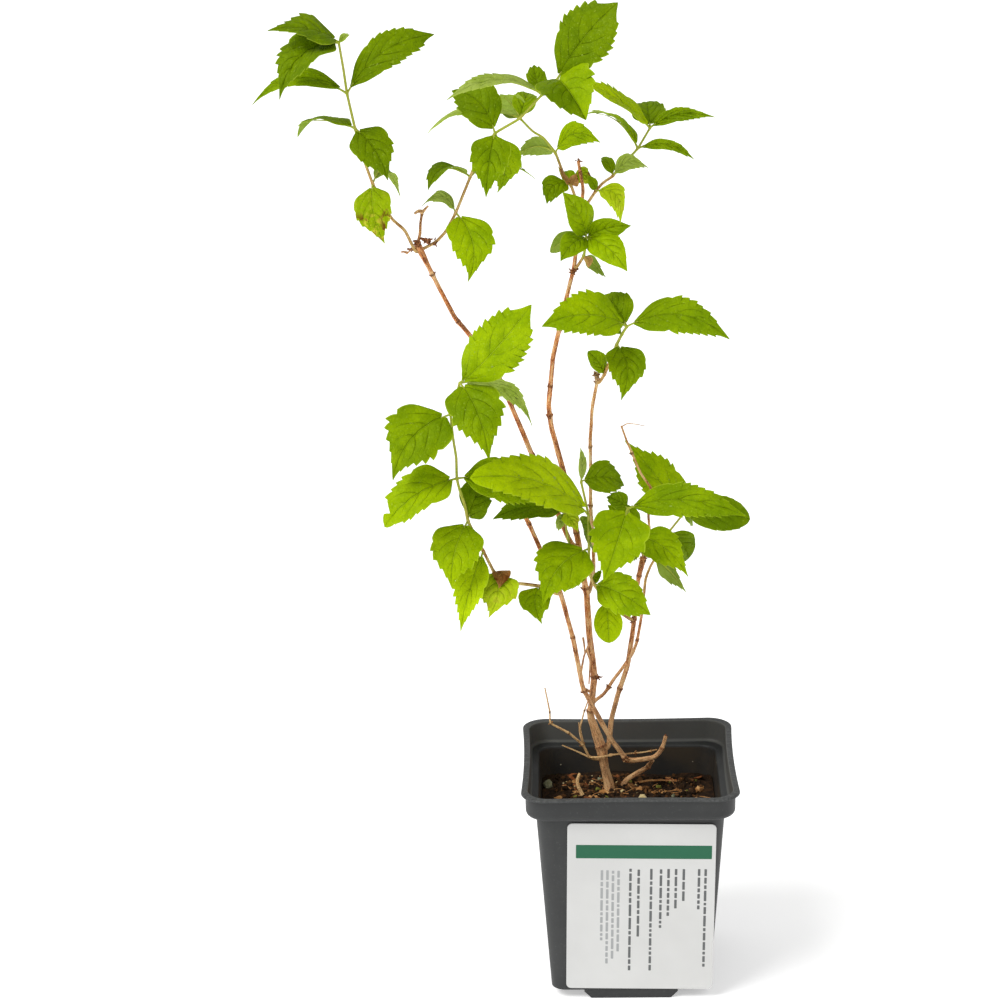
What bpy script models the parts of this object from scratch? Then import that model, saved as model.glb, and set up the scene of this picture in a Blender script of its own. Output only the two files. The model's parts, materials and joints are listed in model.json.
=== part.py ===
"""Mock orange shrub in a square nursery pot: pot, soil, label, stems and leafy shoots.

Units are metres, +Z is up and the origin is the centre of the pot's underside.
X runs along the labelled front face and +Y runs towards the back of the pot.
Sizes below are written in millimetres and turned into metres by the constant MM.
"""
import math
import random
from dataclasses import dataclass, field

import bmesh
import bpy
from mathutils import Matrix, Vector

MM = 0.001
GAP = 0.3
SEED = 9

# Square pot, all in millimetres. Widths are half widths, measured from the pot's axis.
POT_HEIGHT = 95.0
LIP_HALF = 45.0
LIP_THICK = 1.1
COLLAR_HALF = 43.2
COLLAR_DEPTH = 10.8
BODY_TOP_HALF = 38.9
BODY_FOOT_HALF = 33.3
WALL = 1.1
FLOOR_THICK = 1.4
FOOT_HEIGHT = 4.0
FOOT_ARM_HALF = 19.6
FOOT_CHAMFER = 3.0
DRAIN_RADIUS = 3.0
DRAIN_CENTRE = 26.0
SIDE_BOW = 0.85
CORNER_STEPS = 3
SIDE_STEPS = 3
LEDGE = POT_HEIGHT - COLLAR_DEPTH
FLOOR_TOP = FOOT_HEIGHT + FLOOR_THICK
FOOT_MARGIN = 0.2
FOOT_OVERLAP = 0.7
DRAIN_SIDES = 12
DRAIN_LENGTH = 6.0

# Pot wall from the outer foot over the lip to the inner floor: half width, corner radius, bow, height.
POT_PROFILE = (
    (BODY_FOOT_HALF, 6.0, 0.0, FOOT_HEIGHT),
    (BODY_TOP_HALF, 7.5, 0.0, LEDGE - 0.5),
    (BODY_TOP_HALF + 1.8, 8.2, 0.2, LEDGE - 0.1),
    (COLLAR_HALF - 0.6, 8.8, 0.4, LEDGE + 1.0),
    (COLLAR_HALF - 0.1, 9.0, 0.6, LEDGE + 2.3),
    (COLLAR_HALF, 9.2, 0.7, POT_HEIGHT - LIP_THICK - 0.3),
    (LIP_HALF - 0.2, 9.7, SIDE_BOW, POT_HEIGHT - LIP_THICK),
    (LIP_HALF, 9.8, SIDE_BOW, POT_HEIGHT - 0.6 * LIP_THICK),
    (LIP_HALF - 0.2, 9.8, SIDE_BOW, POT_HEIGHT),
    (COLLAR_HALF - 0.8, 9.0, 0.7, POT_HEIGHT),
    (COLLAR_HALF - WALL, 8.8, 0.7, POT_HEIGHT - 0.5),
    (COLLAR_HALF - WALL - 0.2, 8.6, 0.5, LEDGE + 2.0),
    (COLLAR_HALF - WALL - 1.0, 8.2, 0.4, LEDGE + 1.1),
    (BODY_TOP_HALF - WALL + 0.4, 6.8, 0.0, LEDGE + 0.7),
    (BODY_TOP_HALF - WALL, 6.6, 0.0, LEDGE - 0.1),
    (BODY_FOOT_HALF - WALL, 5.0, 0.0, FLOOR_TOP),
)

# Soil: flat round the stems, a little lower along the walls.
SOIL_TOP = 74.0
SOIL_DROP = 1.6
SOIL_ROUGHNESS = 0.7
SOIL_INSET = WALL + GAP + 0.05
SOIL_CORNERS = (4.7, 6.0)
SOIL_RINGS = (0.86, 0.7, 0.54, 0.38, 0.22, 0.1)
STEM_PLACE = (-9.0, 15.0)
LEVEL_RADIUS = 17.0
LEVEL_BLEND = 14.0

# Sticker on the front wall.
LABEL_SIZE = (61.2, 77.4)
LABEL_CENTRE = (4.0, 43.4)
LABEL_TURN = 0.9
LABEL_THICK = 0.35
LABEL_CORNER = 2.2

# Leaves and twigs.
LEAF_THICK = 0.55
LEAF_STATIONS = (0.0, 0.12, 0.33, 0.58, 0.82, 1.0)
LEAF_TIP_HALF = 0.35
BASE_ROUND = 0.06
BLADE_SHIFT = 0.65
BLADE_FULLNESS = 0.8
TIP_DRAW = 0.3
LEAF_BEND = (0.03, 0.08)
LEAF_FOLD = (8.0, 20.0)
PETIOLE_SHARE = 0.11
PETIOLE_RADIUS = 0.55
PETIOLE_SINK = 0.22
PETIOLE_SIDES = 3
PETIOLE_TAPER = 0.7
LEAF_DROOP = 0.11
UP = Vector((0.0, 0.0, 1.0))
FACING = Vector((0.0, -math.cos(math.radians(35.0)), math.sin(math.radians(35.0))))
TWIG_SIDES = 5
LIMB_SIDES = 7
ROOT_FLARE = 0.4
ROOT_FLARE_HEIGHT = 7.0
STUB_RADII = 0.8
SIDE_TWIG_RADII = (0.5, 0.3)


@dataclass(frozen=True)
class Limb:
    """A bare stem: its route, end radii and what it grows from."""

    name: str
    path: tuple
    radii: tuple
    colour: str = "bark"
    parent: str = ""
    joint: float = 0.0
    rooted: bool = False
    knot: tuple = ()


@dataclass(frozen=True)
class Leaf:
    """One leaf: the shoot's node it grows at, reach to its tip, aim, width, roll and sideways sweep."""

    node: int
    reach: float
    heading: float
    away: float
    width: float
    roll: float = 0.0
    sweep: float = 0.0


@dataclass(frozen=True)
class Shoot:
    """A leafy twig: its route, radii, parent limb and leaves."""

    name: str
    path: tuple
    radii: tuple
    parent: str
    joint: float
    leaves: tuple = field(default_factory=tuple)


LIMBS = (
    Limb("stem_middle",
         ((-8, 15, 74.3), (-8, 15, 76), (-10, 15, 84), (-11, 15, 92), (-16, 16, 108), (-14, 15, 126),
          (-16, 14, 144), (-17, 14, 163), (-20, 13, 185), (-26, 12, 217), (-31, 12, 237), (-32, 12, 246),
          (-30, 11, 267), (-24, 10, 293), (-21, 10, 305), (-19, 9, 322), (-17, 8, 337), (-19, 8, 349)),
         (1.75, 0.6), rooted=True, knot=(3, 0.7)),
    Limb("stem_upper_left",
         ((-24.4, 10.8, 189), (-28, 9, 199), (-36, 7, 221), (-39, 6, 227), (-43, 5, 238), (-53, 2, 264),
          (-65, 0, 282), (-69, -1, 287), (-75, -3, 300), (-79, -4, 309), (-83, -5, 318)),
         (1.15, 0.85), parent="stem_middle", joint=8.0, knot=(12, 0.7)),
    Limb("stem_left",
         ((-1, 11, 90), (-7, 10, 99), (-12, 9, 109), (-19, 9, 123), (-23, 9, 146), (-28, 9, 166),
          (-36, 8, 185), (-41, 7, 198), (-45, 6, 205)),
         (1.05, 0.9)),
    Limb("old_arm",
         ((0.5, 11.6, 88.9), (5, 13, 89), (11, 15, 88.4), (14.6, 15.8, 93), (16, 16.2, 98)),
         (1.15, 0.65)),
    Limb("old_foot",
         ((-2, 19, 74.3), (-1.6, 19, 76), (2.4, 18.3, 79.4), (8.5, 17.6, 83.2), (10.5, 15.5, 87.4)),
         (1.05, 0.95), rooted=True),
    Limb("stem_right",
         ((-7, 20.5, 104), (-4, 20.5, 116), (0, 21, 128), (2, 22, 141), (3, 22, 149), (4, 23, 162),
          (5, 23, 168), (7, 24, 176)),
         (1.15, 0.9), parent="stem_middle", joint=3.0, knot=(9, 0.5)),
    Limb("stem_back",
         ((-14, 20, 171), (-14, 20, 182), (-15, 21, 198), (-15, 21, 216), (-15, 22, 228), (-14, 22, 243),
          (-12, 22, 253), (-12, 22, 257)),
         (0.85, 0.65), parent="stem_middle", joint=7.0, knot=(9, 0.4)),
    Limb("side_stem",
         ((-14.4, 22, 112), (-10, 24.4, 114), (-6, 26, 120), (-2, 27, 125), (2, 27, 131), (4, 27, 136),
          (5, 28, 141), (6, 28, 147), (7, 29, 155)),
         (0.8, 0.6), parent="stem_middle", joint=4.15),
    Limb("dead_twig_right",
         ((10, 27, 184), (9, 26.5, 194), (11, 26, 205), (6, 26, 212), (2, 26, 222), (0, 26, 227),
          (-2, 26, 233)),
         (0.6, 0.4), colour="dry", parent="stem_right", joint=8.4),
    Limb("dead_twig_top", ((-82, -5, 323), (-82, -5, 327), (-81, -5, 332)), (0.7, 0.5), colour="dry",
         parent="stem_upper_left", joint=12.0),
    Limb("old_root",
         ((-19.5, 8.6, 74.3), (-19.9, 8.9, 75.4), (-21.6, 11, 77.4), (-22, 12.6, 79.6), (-20.6, 14, 82.2)),
         (0.7, 0.5), colour="dry", rooted=True),
)

DEAD_TWIGS = Shoot(
    "dead_twigs_left",
    ((-16.5, 13, 90), (-19, 12, 96), (-25, 11, 102), (-33, 10, 107), (-33, 10, 112), (-35, 10, 123)),
    (0.75, 0.3), "stem_middle", 2.6)
DEAD_SIDE_TWIGS = (
    ((-19, 12, 96), (-20.4, 11.5, 104), (-18.4, 11.4, 112), (-16.6, 11.6, 117)),
    ((-19, 12, 96), (-20.4, 12.4, 101), (-20.8, 12.8, 106)),
    ((-16.5, 13, 90), (-22, 12.6, 93), (-28, 12, 96)),
    ((-16.5, 13, 90), (-12, 11.4, 90.6), (-6, 12.4, 91.4), (0, 13.6, 91.2), (7, 15.2, 91.2),
     (12.4, 17, 91.6)),
)

SHOOTS = (
    Shoot("shoot_far_left",
          ((-88, -7, 325), (-93, -9, 330), (-100, -12, 345), (-103, -14, 355), (-106, -16, 368),
           (-108.6, -17.5, 382), (-109.6, -18.8, 392), (-111, -20, 402.5)),
          (0.68, 0.48), "stem_upper_left", 11.8,
          (Leaf(7, 29, -76, -20, 19, 35, 0.06), Leaf(7, 34, -130, -32, 20, 25, -0.07),
           Leaf(7, 6, 54, -21, 3), Leaf(5, 41, 58, 11, 13, 20, 0.04), Leaf(5, 37, -95, -5, 14, 20, -0.07),
           Leaf(4, 29, -94, 34, 13, 55, 0.05), Leaf(4, 24, 147, -15, 16, 0, 0.02),
           Leaf(2, 24, 169, -14, 15, 0, -0.1), Leaf(2, 17.6, 129, 43, 8, 120, 0.45))),
    Shoot("shoot_top",
          ((-76, -3, 319), (-72, -2, 323), (-68, 0, 330), (-62, 3, 344), (-60, 4, 349), (-52, 6, 361),
           (-47, 5, 364), (-42, 4, 367), (-32.9, -0.8, 377.5), (-27, -4, 384)),
          (0.68, 0.48), "stem_upper_left", 11.8,
          (Leaf(2, 28, 170, -19, 18, 0, 0.15), Leaf(2, 14, -80, 9, 11, 30, -0.25),
           Leaf(3, 22, -96, -42, 12, 45, -0.12), Leaf(3, 29, 99, 27, 12, 130, 0.2),
           Leaf(5, 26, -49, 28, 17, 0, -0.08), Leaf(5, 27, -171, -32, 16),
           Leaf(5, 27, 179, 17, 14, 0, 0.13),
           Leaf(8, 42.5, -86, -30, 10, 35, 0.03), Leaf(8, 13, -16, 31, 9, 20, 0.1),
           Leaf(9, 40, 38, -6, 22, 0, -0.05), Leaf(9, 27, 137, -53, 23, 0, -0.04))),
    Shoot("shoot_top_back",
          ((-22, 14, 338), (-25, 16, 342), (-28, 19, 350), (-33, 21, 356), (-37, 22, 358), (-42, 24, 363)),
          (0.65, 0.45), "stem_middle", 15.5,
          (Leaf(0, 13.4, -123, -31, 10, 0, -0.2), Leaf(0, 8, -26, 54, 6),
           Leaf(0, 10.6, 102, 25, 7, 30, 0.35), Leaf(2, 22, -105, 42, 8, 130, -0.03),
           Leaf(2, 21, 72, -26, 10, 20, 0.18), Leaf(5, 15, -45, 40, 11, 180),
           Leaf(5, 18, 27, 63, 10), Leaf(5, 40, -101, 15, 14, 50))),
    Shoot("shoot_top_right",
          ((-12, 11, 336), (-9, 13, 339), (-5, 15, 341), (-2, 17, 345), (1, 19, 347), (5, 20, 351),
           (10, 22, 359)),
          (0.65, 0.45), "stem_middle", 15.5,
          (Leaf(0, 23, 133, -56, 9, 30, 0.2), Leaf(0, 7.5, -25, -10, 4), Leaf(2, 13, -36, 58, 5),
           Leaf(2, 20, 66, -42, 7, 50, 0.15), Leaf(5, 30, -62, 41, 11, 60),
           Leaf(5, 23, 102, 0, 5.5, 60, 0.12), Leaf(6, 21, -9, 71, 14),
           Leaf(6, 32, 73, -35, 6.5, 60, 0.04), Leaf(6, 36, -52, -19, 13, 40, 0.08))),
    Shoot("shoot_upper_middle", ((-17, 4, 311), (-16, 1, 319)), (0.7, 0.5), "stem_middle", 14.0,
          (Leaf(1, 27, -23, -29, 12), Leaf(1, 20, 70, -20, 10, 40), Leaf(1, 25, 121, -42, 13),
           Leaf(1, 19, -118, -52, 11), Leaf(1, 16, -106, -18, 8, 130), Leaf(0, 13, 138, 9, 7, 150))),
    Shoot("shoot_right", ((-9, 16, 258), (-4, 8, 273), (-2, 5, 278), (0, 2, 282)),
          (0.75, 0.55), "stem_back", 8.0,
          (Leaf(3, 38, -82, -25, 19), Leaf(3, 19, -45, 44, 14), Leaf(3, 42, 95, -11, 14.5, 25, 0.08),
           Leaf(1, 24, 176, -35, 16, 0, 0.14), Leaf(2, 6, -72, 34, 3), Leaf(0, 13.5, -31, -17, 7.5))),
    Shoot("shoot_left",
          ((-36, 0, 172), (-44, -5, 175), (-48, -8, 176), (-53, -11, 179), (-55, -13, 183), (-59, -16, 193),
           (-65, -19, 207), (-66, -20, 214), (-68, -21, 221), (-69, -22, 226), (-69, -22, 235),
           (-70, -22, 242), (-71, -22, 253), (-67, -22, 266)),
          (0.78, 0.48), "stem_left", 5.0,
          (Leaf(13, 49, 39, -19, 21, 25, -0.1), Leaf(13, 37, 127, 16, 9, 55, 0.16),
           Leaf(13, 35, 156, -35, 22, 0, 0.03), Leaf(12, 35, -136, -17, 25, 0, -0.06),
           Leaf(9, 35, -121, -13, 19, 15, 0.03), Leaf(9, 40, 117, 27, 18),
           Leaf(6, 22, 41, 42, 15, 30, 0.1), Leaf(6, 28, -165, -23, 21, 0, -0.05),
           Leaf(5, 34, -163, -14, 14, 20, 0.04), Leaf(4, 20.5, -172, -43, 17, 0, 0.15),
           Leaf(0, 17, 178, -44, 14, 0, -0.16))),
    Shoot("shoot_low_middle",
          ((-3, 14, 155), (-7, 11, 159), (-9, 10, 162), (-14, 7, 170), (-16, 5, 176), (-16, 3, 187),
           (-16, 2, 202), (-19, 4, 216)),
          (0.8, 0.5), "stem_right", 6.0,
          (Leaf(6, 55, -58, -29, 20, 0, 0.02), Leaf(6, 20, 175, 25, 12, 75),
           Leaf(7, 20.5, 125, 29, 16, 0, 0.02), Leaf(7, 14, 0, 8, 5, 50),
           Leaf(5, 31, -135, -29, 23, 0, -0.08), Leaf(4, 13, -126, -4, 6),
           Leaf(3, 28, 111, -28, 17, 25), Leaf(3, 7, 27, 8, 3), Leaf(2, 18, 176, -25, 12))),
    Shoot("shoot_low_right", ((6, 21, 180), (4, 14, 189), (0, 4, 204)), (0.8, 0.55), "stem_right", 9.0,
          (Leaf(2, 33, -158, -33, 24, 0, 0.05), Leaf(2, 50, 89, -16, 14, 30, 0.02), Leaf(2, 10, -60, 4, 8),
           Leaf(1, 28, 124, -26, 15, 20, 0.05), Leaf(1, 18, -174, 34, 9, 40), Leaf(1, 18, -42, 0, 12))),
    Shoot("shoot_far_right",
          ((8, 31, 164), (10, 32, 169), (12, 33, 172), (15, 35, 177), (18, 36, 183), (24, 38, 190)),
          (0.65, 0.45), "side_stem", 10.0,
          (Leaf(5, 40, -38, 9, 15, 25, 0.06), Leaf(5, 15, 152, 51, 8), Leaf(5, 28.5, 92, -8, 15, 10, -0.06),
           Leaf(4, 21, 158, 35, 10, 150), Leaf(2, 22, 142, 13, 10, 150))),
    Shoot("shoot_inner", ((-23, 6, 184), (-25, 4, 193), (-26, 3, 203)), (0.6, 0.45), "stem_middle", 7.6,
          (Leaf(2, 30, -91, -12, 12, 15, 0.03), Leaf(2, 10, 140, -30, 7), Leaf(2, 8, -160, -20, 4))),
)


def clear_scene():
    """Remove every object of the scene that the script starts in."""
    for old in list(bpy.data.objects):
        bpy.data.objects.remove(old, do_unlink=True)


def make_material(name, colour, roughness):
    """Return a Principled material of one colour."""
    material = bpy.data.materials.new(name)
    material.use_nodes = True
    shader = material.node_tree.nodes["Principled BSDF"]
    shader.inputs["Base Color"].default_value = (*colour, 1.0)
    shader.inputs["Roughness"].default_value = roughness
    shader.inputs["Metallic"].default_value = 0.0
    material.diffuse_color = (*colour, 1.0)
    return material


def make_object(name, bm, material):
    """Turn a bmesh into a named object with outward faces and one material."""
    bmesh.ops.recalc_face_normals(bm, faces=bm.faces)
    mesh = bpy.data.meshes.new(name)
    bm.to_mesh(mesh)
    bm.free()
    mesh.materials.append(material)
    piece = bpy.data.objects.new(name, mesh)
    bpy.context.scene.collection.objects.link(piece)
    return piece


def apply_boolean(piece, operation, solver, tool=None, tools=None):
    """Apply one Boolean of an object or a collection to a piece and remove what cut or joined it."""
    modifier = piece.modifiers.new("join", "BOOLEAN")
    modifier.operation = operation
    modifier.solver = solver
    if tools is None:
        modifier.object = tool
    else:
        modifier.operand_type = "COLLECTION"
        modifier.collection = tools
    bpy.context.view_layer.update()
    graph = bpy.context.evaluated_depsgraph_get()
    joined = bpy.data.meshes.new_from_object(piece.evaluated_get(graph))
    piece.modifiers.remove(modifier)
    old = piece.data
    piece.data = joined
    bpy.data.meshes.remove(old)
    for used in [tool] if tools is None else list(tools.objects):
        bpy.data.objects.remove(used, do_unlink=True)
    if tools is not None:
        bpy.data.collections.remove(tools)


def square_ring(bm, half, radius, bow, height):
    """Add one rounded square of vertices whose sides bow in by bow, and return them in order."""
    ring = []
    flat = half - radius
    for corner in range(4):
        turn = Matrix.Rotation(math.radians(90.0 * corner), 3, "Z")
        for step in range(CORNER_STEPS + 1):
            angle = math.radians(90.0 * step / CORNER_STEPS)
            point = Vector((flat + radius * math.cos(angle), flat + radius * math.sin(angle), height))
            ring.append(bm.verts.new(turn @ point * MM))
        for step in range(1, SIDE_STEPS):
            along = flat * (1.0 - 2.0 * step / SIDE_STEPS)
            inward = bow * (1.0 - (along / flat) ** 2)
            ring.append(bm.verts.new(turn @ Vector((along, half - inward, height)) * MM))
    return ring


def bridge(bm, lower, upper):
    """Join two rings of equal length by a band of faces."""
    count = len(lower)
    for index in range(count):
        following = (index + 1) % count
        bm.faces.new((lower[index], lower[following], upper[following], upper[index]))


def wall_half(height):
    """Half width of the outer wall between foot and collar at a height."""
    share = (height - FOOT_HEIGHT) / (LEDGE - FOOT_HEIGHT)
    return BODY_FOOT_HALF + (BODY_TOP_HALF - BODY_FOOT_HALF) * share


def build_pot(material):
    """Square pot with a stepped collar, a thin lip, a raised floor and a cross-shaped foot."""
    bm = bmesh.new()
    rings = [square_ring(bm, *row) for row in POT_PROFILE]
    for lower, upper in zip(rings, rings[1:]):
        bridge(bm, lower, upper)
    bm.faces.new(rings[0])
    bm.faces.new(rings[-1])
    pot = make_object("pot", bm, material)
    apply_boolean(pot, "UNION", "EXACT", tool=build_foot(material))
    for side_x in (-1, 1):
        for side_y in (-1, 1):
            drill = bmesh.new()
            middle = Vector((side_x * DRAIN_CENTRE, side_y * DRAIN_CENTRE, FOOT_HEIGHT + 1.0))
            centre = Matrix.Translation(middle * MM)
            bmesh.ops.create_cone(drill, cap_ends=True, segments=DRAIN_SIDES, radius1=DRAIN_RADIUS * MM,
                                  radius2=DRAIN_RADIUS * MM, depth=DRAIN_LENGTH * MM, matrix=centre)
            apply_boolean(pot, "DIFFERENCE", "EXACT", tool=make_object("drill", drill, material))
    return pot


def build_foot(material):
    """Cross-shaped plate under the floor, with chamfered flanks, that the pot stands on."""
    arm = FOOT_ARM_HALF
    reach = BODY_FOOT_HALF - FOOT_MARGIN
    bm = bmesh.new()
    rings = []
    for height, inset in ((0.0, FOOT_CHAMFER), (FOOT_CHAMFER, 0.0), (FOOT_HEIGHT + FOOT_OVERLAP, 0.0)):
        side = arm - inset
        outline = []
        for quarter in range(4):
            turn = Matrix.Rotation(math.radians(90.0 * quarter), 3, "Z")
            for x, y in ((side, -reach), (side, -side)):
                outline.append(bm.verts.new(turn @ Vector((x, y, height)) * MM))
            outline.append(bm.verts.new(turn @ Vector((reach, -side, height)) * MM))
        rings.append(outline)
    for lower, upper in zip(rings, rings[1:]):
        bridge(bm, lower, upper)
    bm.faces.new(rings[0])
    bm.faces.new(rings[-1])
    return make_object("foot", bm, material)


def soil_height(x, y, dice):
    """Height of the soil: level round the stems, rough and falling towards the walls."""
    away = math.hypot(x - STEM_PLACE[0], y - STEM_PLACE[1])
    blend = min(max((away - LEVEL_RADIUS) / LEVEL_BLEND, 0.0), 1.0)
    return SOIL_TOP - blend * (SOIL_DROP + SOIL_ROUGHNESS * dice.uniform(-1.0, 1.0))


def build_soil(material):
    """Solid fill of potting soil that keeps a small gap to the pot's floor and walls."""
    dice = random.Random(SEED)
    floor = FLOOR_TOP + GAP
    edge = SOIL_TOP - SOIL_DROP
    bm = bmesh.new()
    foot_ring = square_ring(bm, wall_half(floor) - SOIL_INSET, SOIL_CORNERS[0], 0.0, floor)
    top_ring = square_ring(bm, wall_half(edge) - SOIL_INSET, SOIL_CORNERS[1], 0.0, edge)
    bridge(bm, foot_ring, top_ring)
    bm.faces.new(foot_ring)
    outer = top_ring
    for share in SOIL_RINGS:
        ring = []
        for vertex in top_ring:
            x, y = vertex.co.x / MM * share, vertex.co.y / MM * share
            ring.append(bm.verts.new(Vector((x, y, soil_height(x, y, dice))) * MM))
        bridge(bm, outer, ring)
        outer = ring
    bm.faces.new(outer)
    return make_object("soil", bm, material)


def build_label(material):
    """Thin rounded sticker lying a gap in front of the sloping front wall."""
    width, height = LABEL_SIZE
    bm = bmesh.new()
    outline = []
    for corner, (side_x, side_z) in enumerate(((1, 1), (-1, 1), (-1, -1), (1, -1))):
        for step in range(CORNER_STEPS + 1):
            angle = math.radians(90.0 * corner + 90.0 * step / CORNER_STEPS)
            outline.append((side_x * (width / 2 - LABEL_CORNER) + LABEL_CORNER * math.cos(angle),
                            side_z * (height / 2 - LABEL_CORNER) + LABEL_CORNER * math.sin(angle)))
    turn = math.radians(LABEL_TURN)
    rings = []
    for offset in (GAP, GAP + LABEL_THICK):
        ring = []
        for across, up in outline:
            x = LABEL_CENTRE[0] + across * math.cos(turn) + up * math.sin(turn)
            z = LABEL_CENTRE[1] - across * math.sin(turn) + up * math.cos(turn)
            ring.append(bm.verts.new(Vector((x, -wall_half(z) - offset, z)) * MM))
        rings.append(ring)
    bridge(bm, *rings)
    for ring in rings:
        bm.faces.new(ring)
    return make_object("label", bm, material)


def tube(bm, path, radii, sides, first_normal=None):
    """Sweep a polygon of given radii along a path and cap both ends."""
    points = [Vector(point) for point in path]
    tangents = []
    for index, point in enumerate(points):
        before = points[max(index - 1, 0)]
        after = points[min(index + 1, len(points) - 1)]
        tangents.append((after - before).normalized())
    if first_normal is not None:
        tangents[0] = tangents[1] = Vector(first_normal).normalized()
    side = tangents[0].orthogonal().normalized()
    rings = []
    for point, tangent, radius in zip(points, tangents, radii):
        side = (side - side.dot(tangent) * tangent).normalized()
        other = tangent.cross(side)
        ring = []
        for step in range(sides):
            angle = 2.0 * math.pi * step / sides
            offset = radius * (math.cos(angle) * side + math.sin(angle) * other)
            ring.append(bm.verts.new((point + offset) * MM))
        rings.append(ring)
    for lower, upper in zip(rings, rings[1:]):
        bridge(bm, lower, upper)
    bm.faces.new(rings[0])
    bm.faces.new(rings[-1])


def radius_at(limb, share):
    """Plain taper of a limb from its first to its last radius."""
    return limb.radii[0] + (limb.radii[1] - limb.radii[0]) * share


def limb_radii(limb, path):
    """Radii along a path: taper, root flare above the soil and the knot of old buds."""
    last = len(path) - 1
    radii = []
    for index, point in enumerate(path):
        radius = radius_at(limb, index / last)
        if limb.rooted:
            radius += ROOT_FLARE * limb.radii[0] * math.exp(-(point[2] - SOIL_TOP) / ROOT_FLARE_HEIGHT)
        if limb.knot and limb.knot[0] == index:
            radius += limb.knot[1]
        radii.append(radius)
    return radii


def grown_path(item, routes):
    """Full route of a limb or shoot: a square start on its parent, then its own points.

    The start lies a gap off the parent's surface, or off its end face where the joint is its last point.
    """
    if not item.parent:
        return [Vector(point) for point in item.path], Vector((0, 0, 1)) if item.rooted else None
    path, radii = routes[item.parent]
    first = min(int(item.joint), len(path) - 2)
    share = item.joint - first
    centre = path[first].lerp(path[first + 1], share)
    surface = radii[first] + (radii[first + 1] - radii[first]) * share
    axis = (path[first + 1] - path[first]).normalized()
    towards = Vector(item.path[0]) - centre
    if item.joint >= len(path) - 1:
        out = axis
        start = centre + out * GAP
    else:
        out = (towards - towards.dot(axis) * axis).normalized()
        start = centre + out * (surface + GAP)
    stub = out * (STUB_RADII * item.radii[0])
    return [start, start + stub, *[Vector(point) for point in item.path]], out


def build_limb(limb, routes, materials):
    """One stem as its own solid, remembered in routes for what grows on it."""
    path, out = grown_path(limb, routes)
    radii = limb_radii(limb, path)
    routes[limb.name] = (path, radii)
    bm = bmesh.new()
    tube(bm, path, radii, LIMB_SIDES, out)
    return make_object(limb.name, bm, materials[limb.colour])


def leaf_frame(leaf):
    """Directions along the leaf, out of its upper face, across it and of its sideways sweep."""
    heading = math.radians(leaf.heading)
    away = math.radians(leaf.away)
    along = Vector((math.sin(heading) * math.cos(away), math.sin(away), math.cos(heading) * math.cos(away)))
    upper = (FACING - FACING.dot(along) * along).normalized()
    upper = Matrix.Rotation(math.radians(leaf.roll), 3, along) @ upper
    return along, upper, along.cross(upper), FACING.cross(along).normalized()


def blade_half(width, share):
    """Half width of the blade at a share of its length: round base, widest at a third, drawn-out tip."""
    place = (BASE_ROUND + (1.0 - BASE_ROUND) * share) ** BLADE_SHIFT
    round_part = math.sin(math.pi * place) ** BLADE_FULLNESS
    return max(0.5 * width * round_part * (1.0 - TIP_DRAW * share ** 3), LEAF_TIP_HALF)


def midrib(root, leaf, share, bend):
    """Point of the leaf's line at a share of its reach: it rises first and then hangs to the tip."""
    along, upper, _, sideways = leaf_frame(leaf)
    rise = UP - UP.dot(along) * along
    arch = bend * upper + LEAF_DROOP * rise + leaf.sweep * sideways
    return root + along * (leaf.reach * share) + arch * (4.0 * leaf.reach * share * (1.0 - share))


def build_leaf(root, leaf, dice, material):
    """One leaf as a closed solid: a folded, arched blade of even thickness."""
    _, upper, across, _ = leaf_frame(leaf)
    bend = dice.uniform(*LEAF_BEND)
    fold = math.tan(math.radians(dice.uniform(*LEAF_FOLD)))
    bm = bmesh.new()
    layers = []
    for offset in (0.5, -0.5):
        rows = []
        for station in LEAF_STATIONS:
            share = PETIOLE_SHARE + (1.0 - PETIOLE_SHARE) * station
            middle = midrib(root, leaf, share, bend) + upper * (offset * LEAF_THICK)
            half = blade_half(leaf.width, station)
            row = [middle + side * half * across + abs(side) * half * fold * upper for side in (-1, 0, 1)]
            rows.append([bm.verts.new(point * MM) for point in row])
        layers.append(rows)
    top, bottom = layers
    for row, following, low, low_following in zip(top, top[1:], bottom, bottom[1:]):
        for side in (0, 1):
            bm.faces.new((row[side], row[side + 1], following[side + 1], following[side]))
            bm.faces.new((low[side], low_following[side], low_following[side + 1], low[side + 1]))
        for edge in (0, 2):
            bm.faces.new((row[edge], following[edge], low_following[edge], low[edge]))
    for row, low in ((top[0], bottom[0]), (top[-1], bottom[-1])):
        for side in (0, 1):
            bm.faces.new((row[side], row[side + 1], low[side + 1], low[side]))
    blade = make_object("blade", bm, material)

    stalk = bmesh.new()
    shares = (0.0, 0.5 * PETIOLE_SHARE, PETIOLE_SHARE + PETIOLE_SINK)
    points = [midrib(root, leaf, share, bend) for share in shares]
    tube(stalk, points, (PETIOLE_RADIUS, PETIOLE_RADIUS, PETIOLE_TAPER * PETIOLE_RADIUS), PETIOLE_SIDES)
    return blade, make_object("stalk", stalk, material)


def join_mass(core, parts, name):
    """Fuse a twig with the pieces that grow from it."""
    mass = bpy.data.collections.new(name)
    for part in parts:
        bpy.context.scene.collection.objects.unlink(part)
        mass.objects.link(part)
    bpy.context.scene.collection.children.link(mass)
    apply_boolean(core, "UNION", "MANIFOLD", tools=mass)


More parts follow.
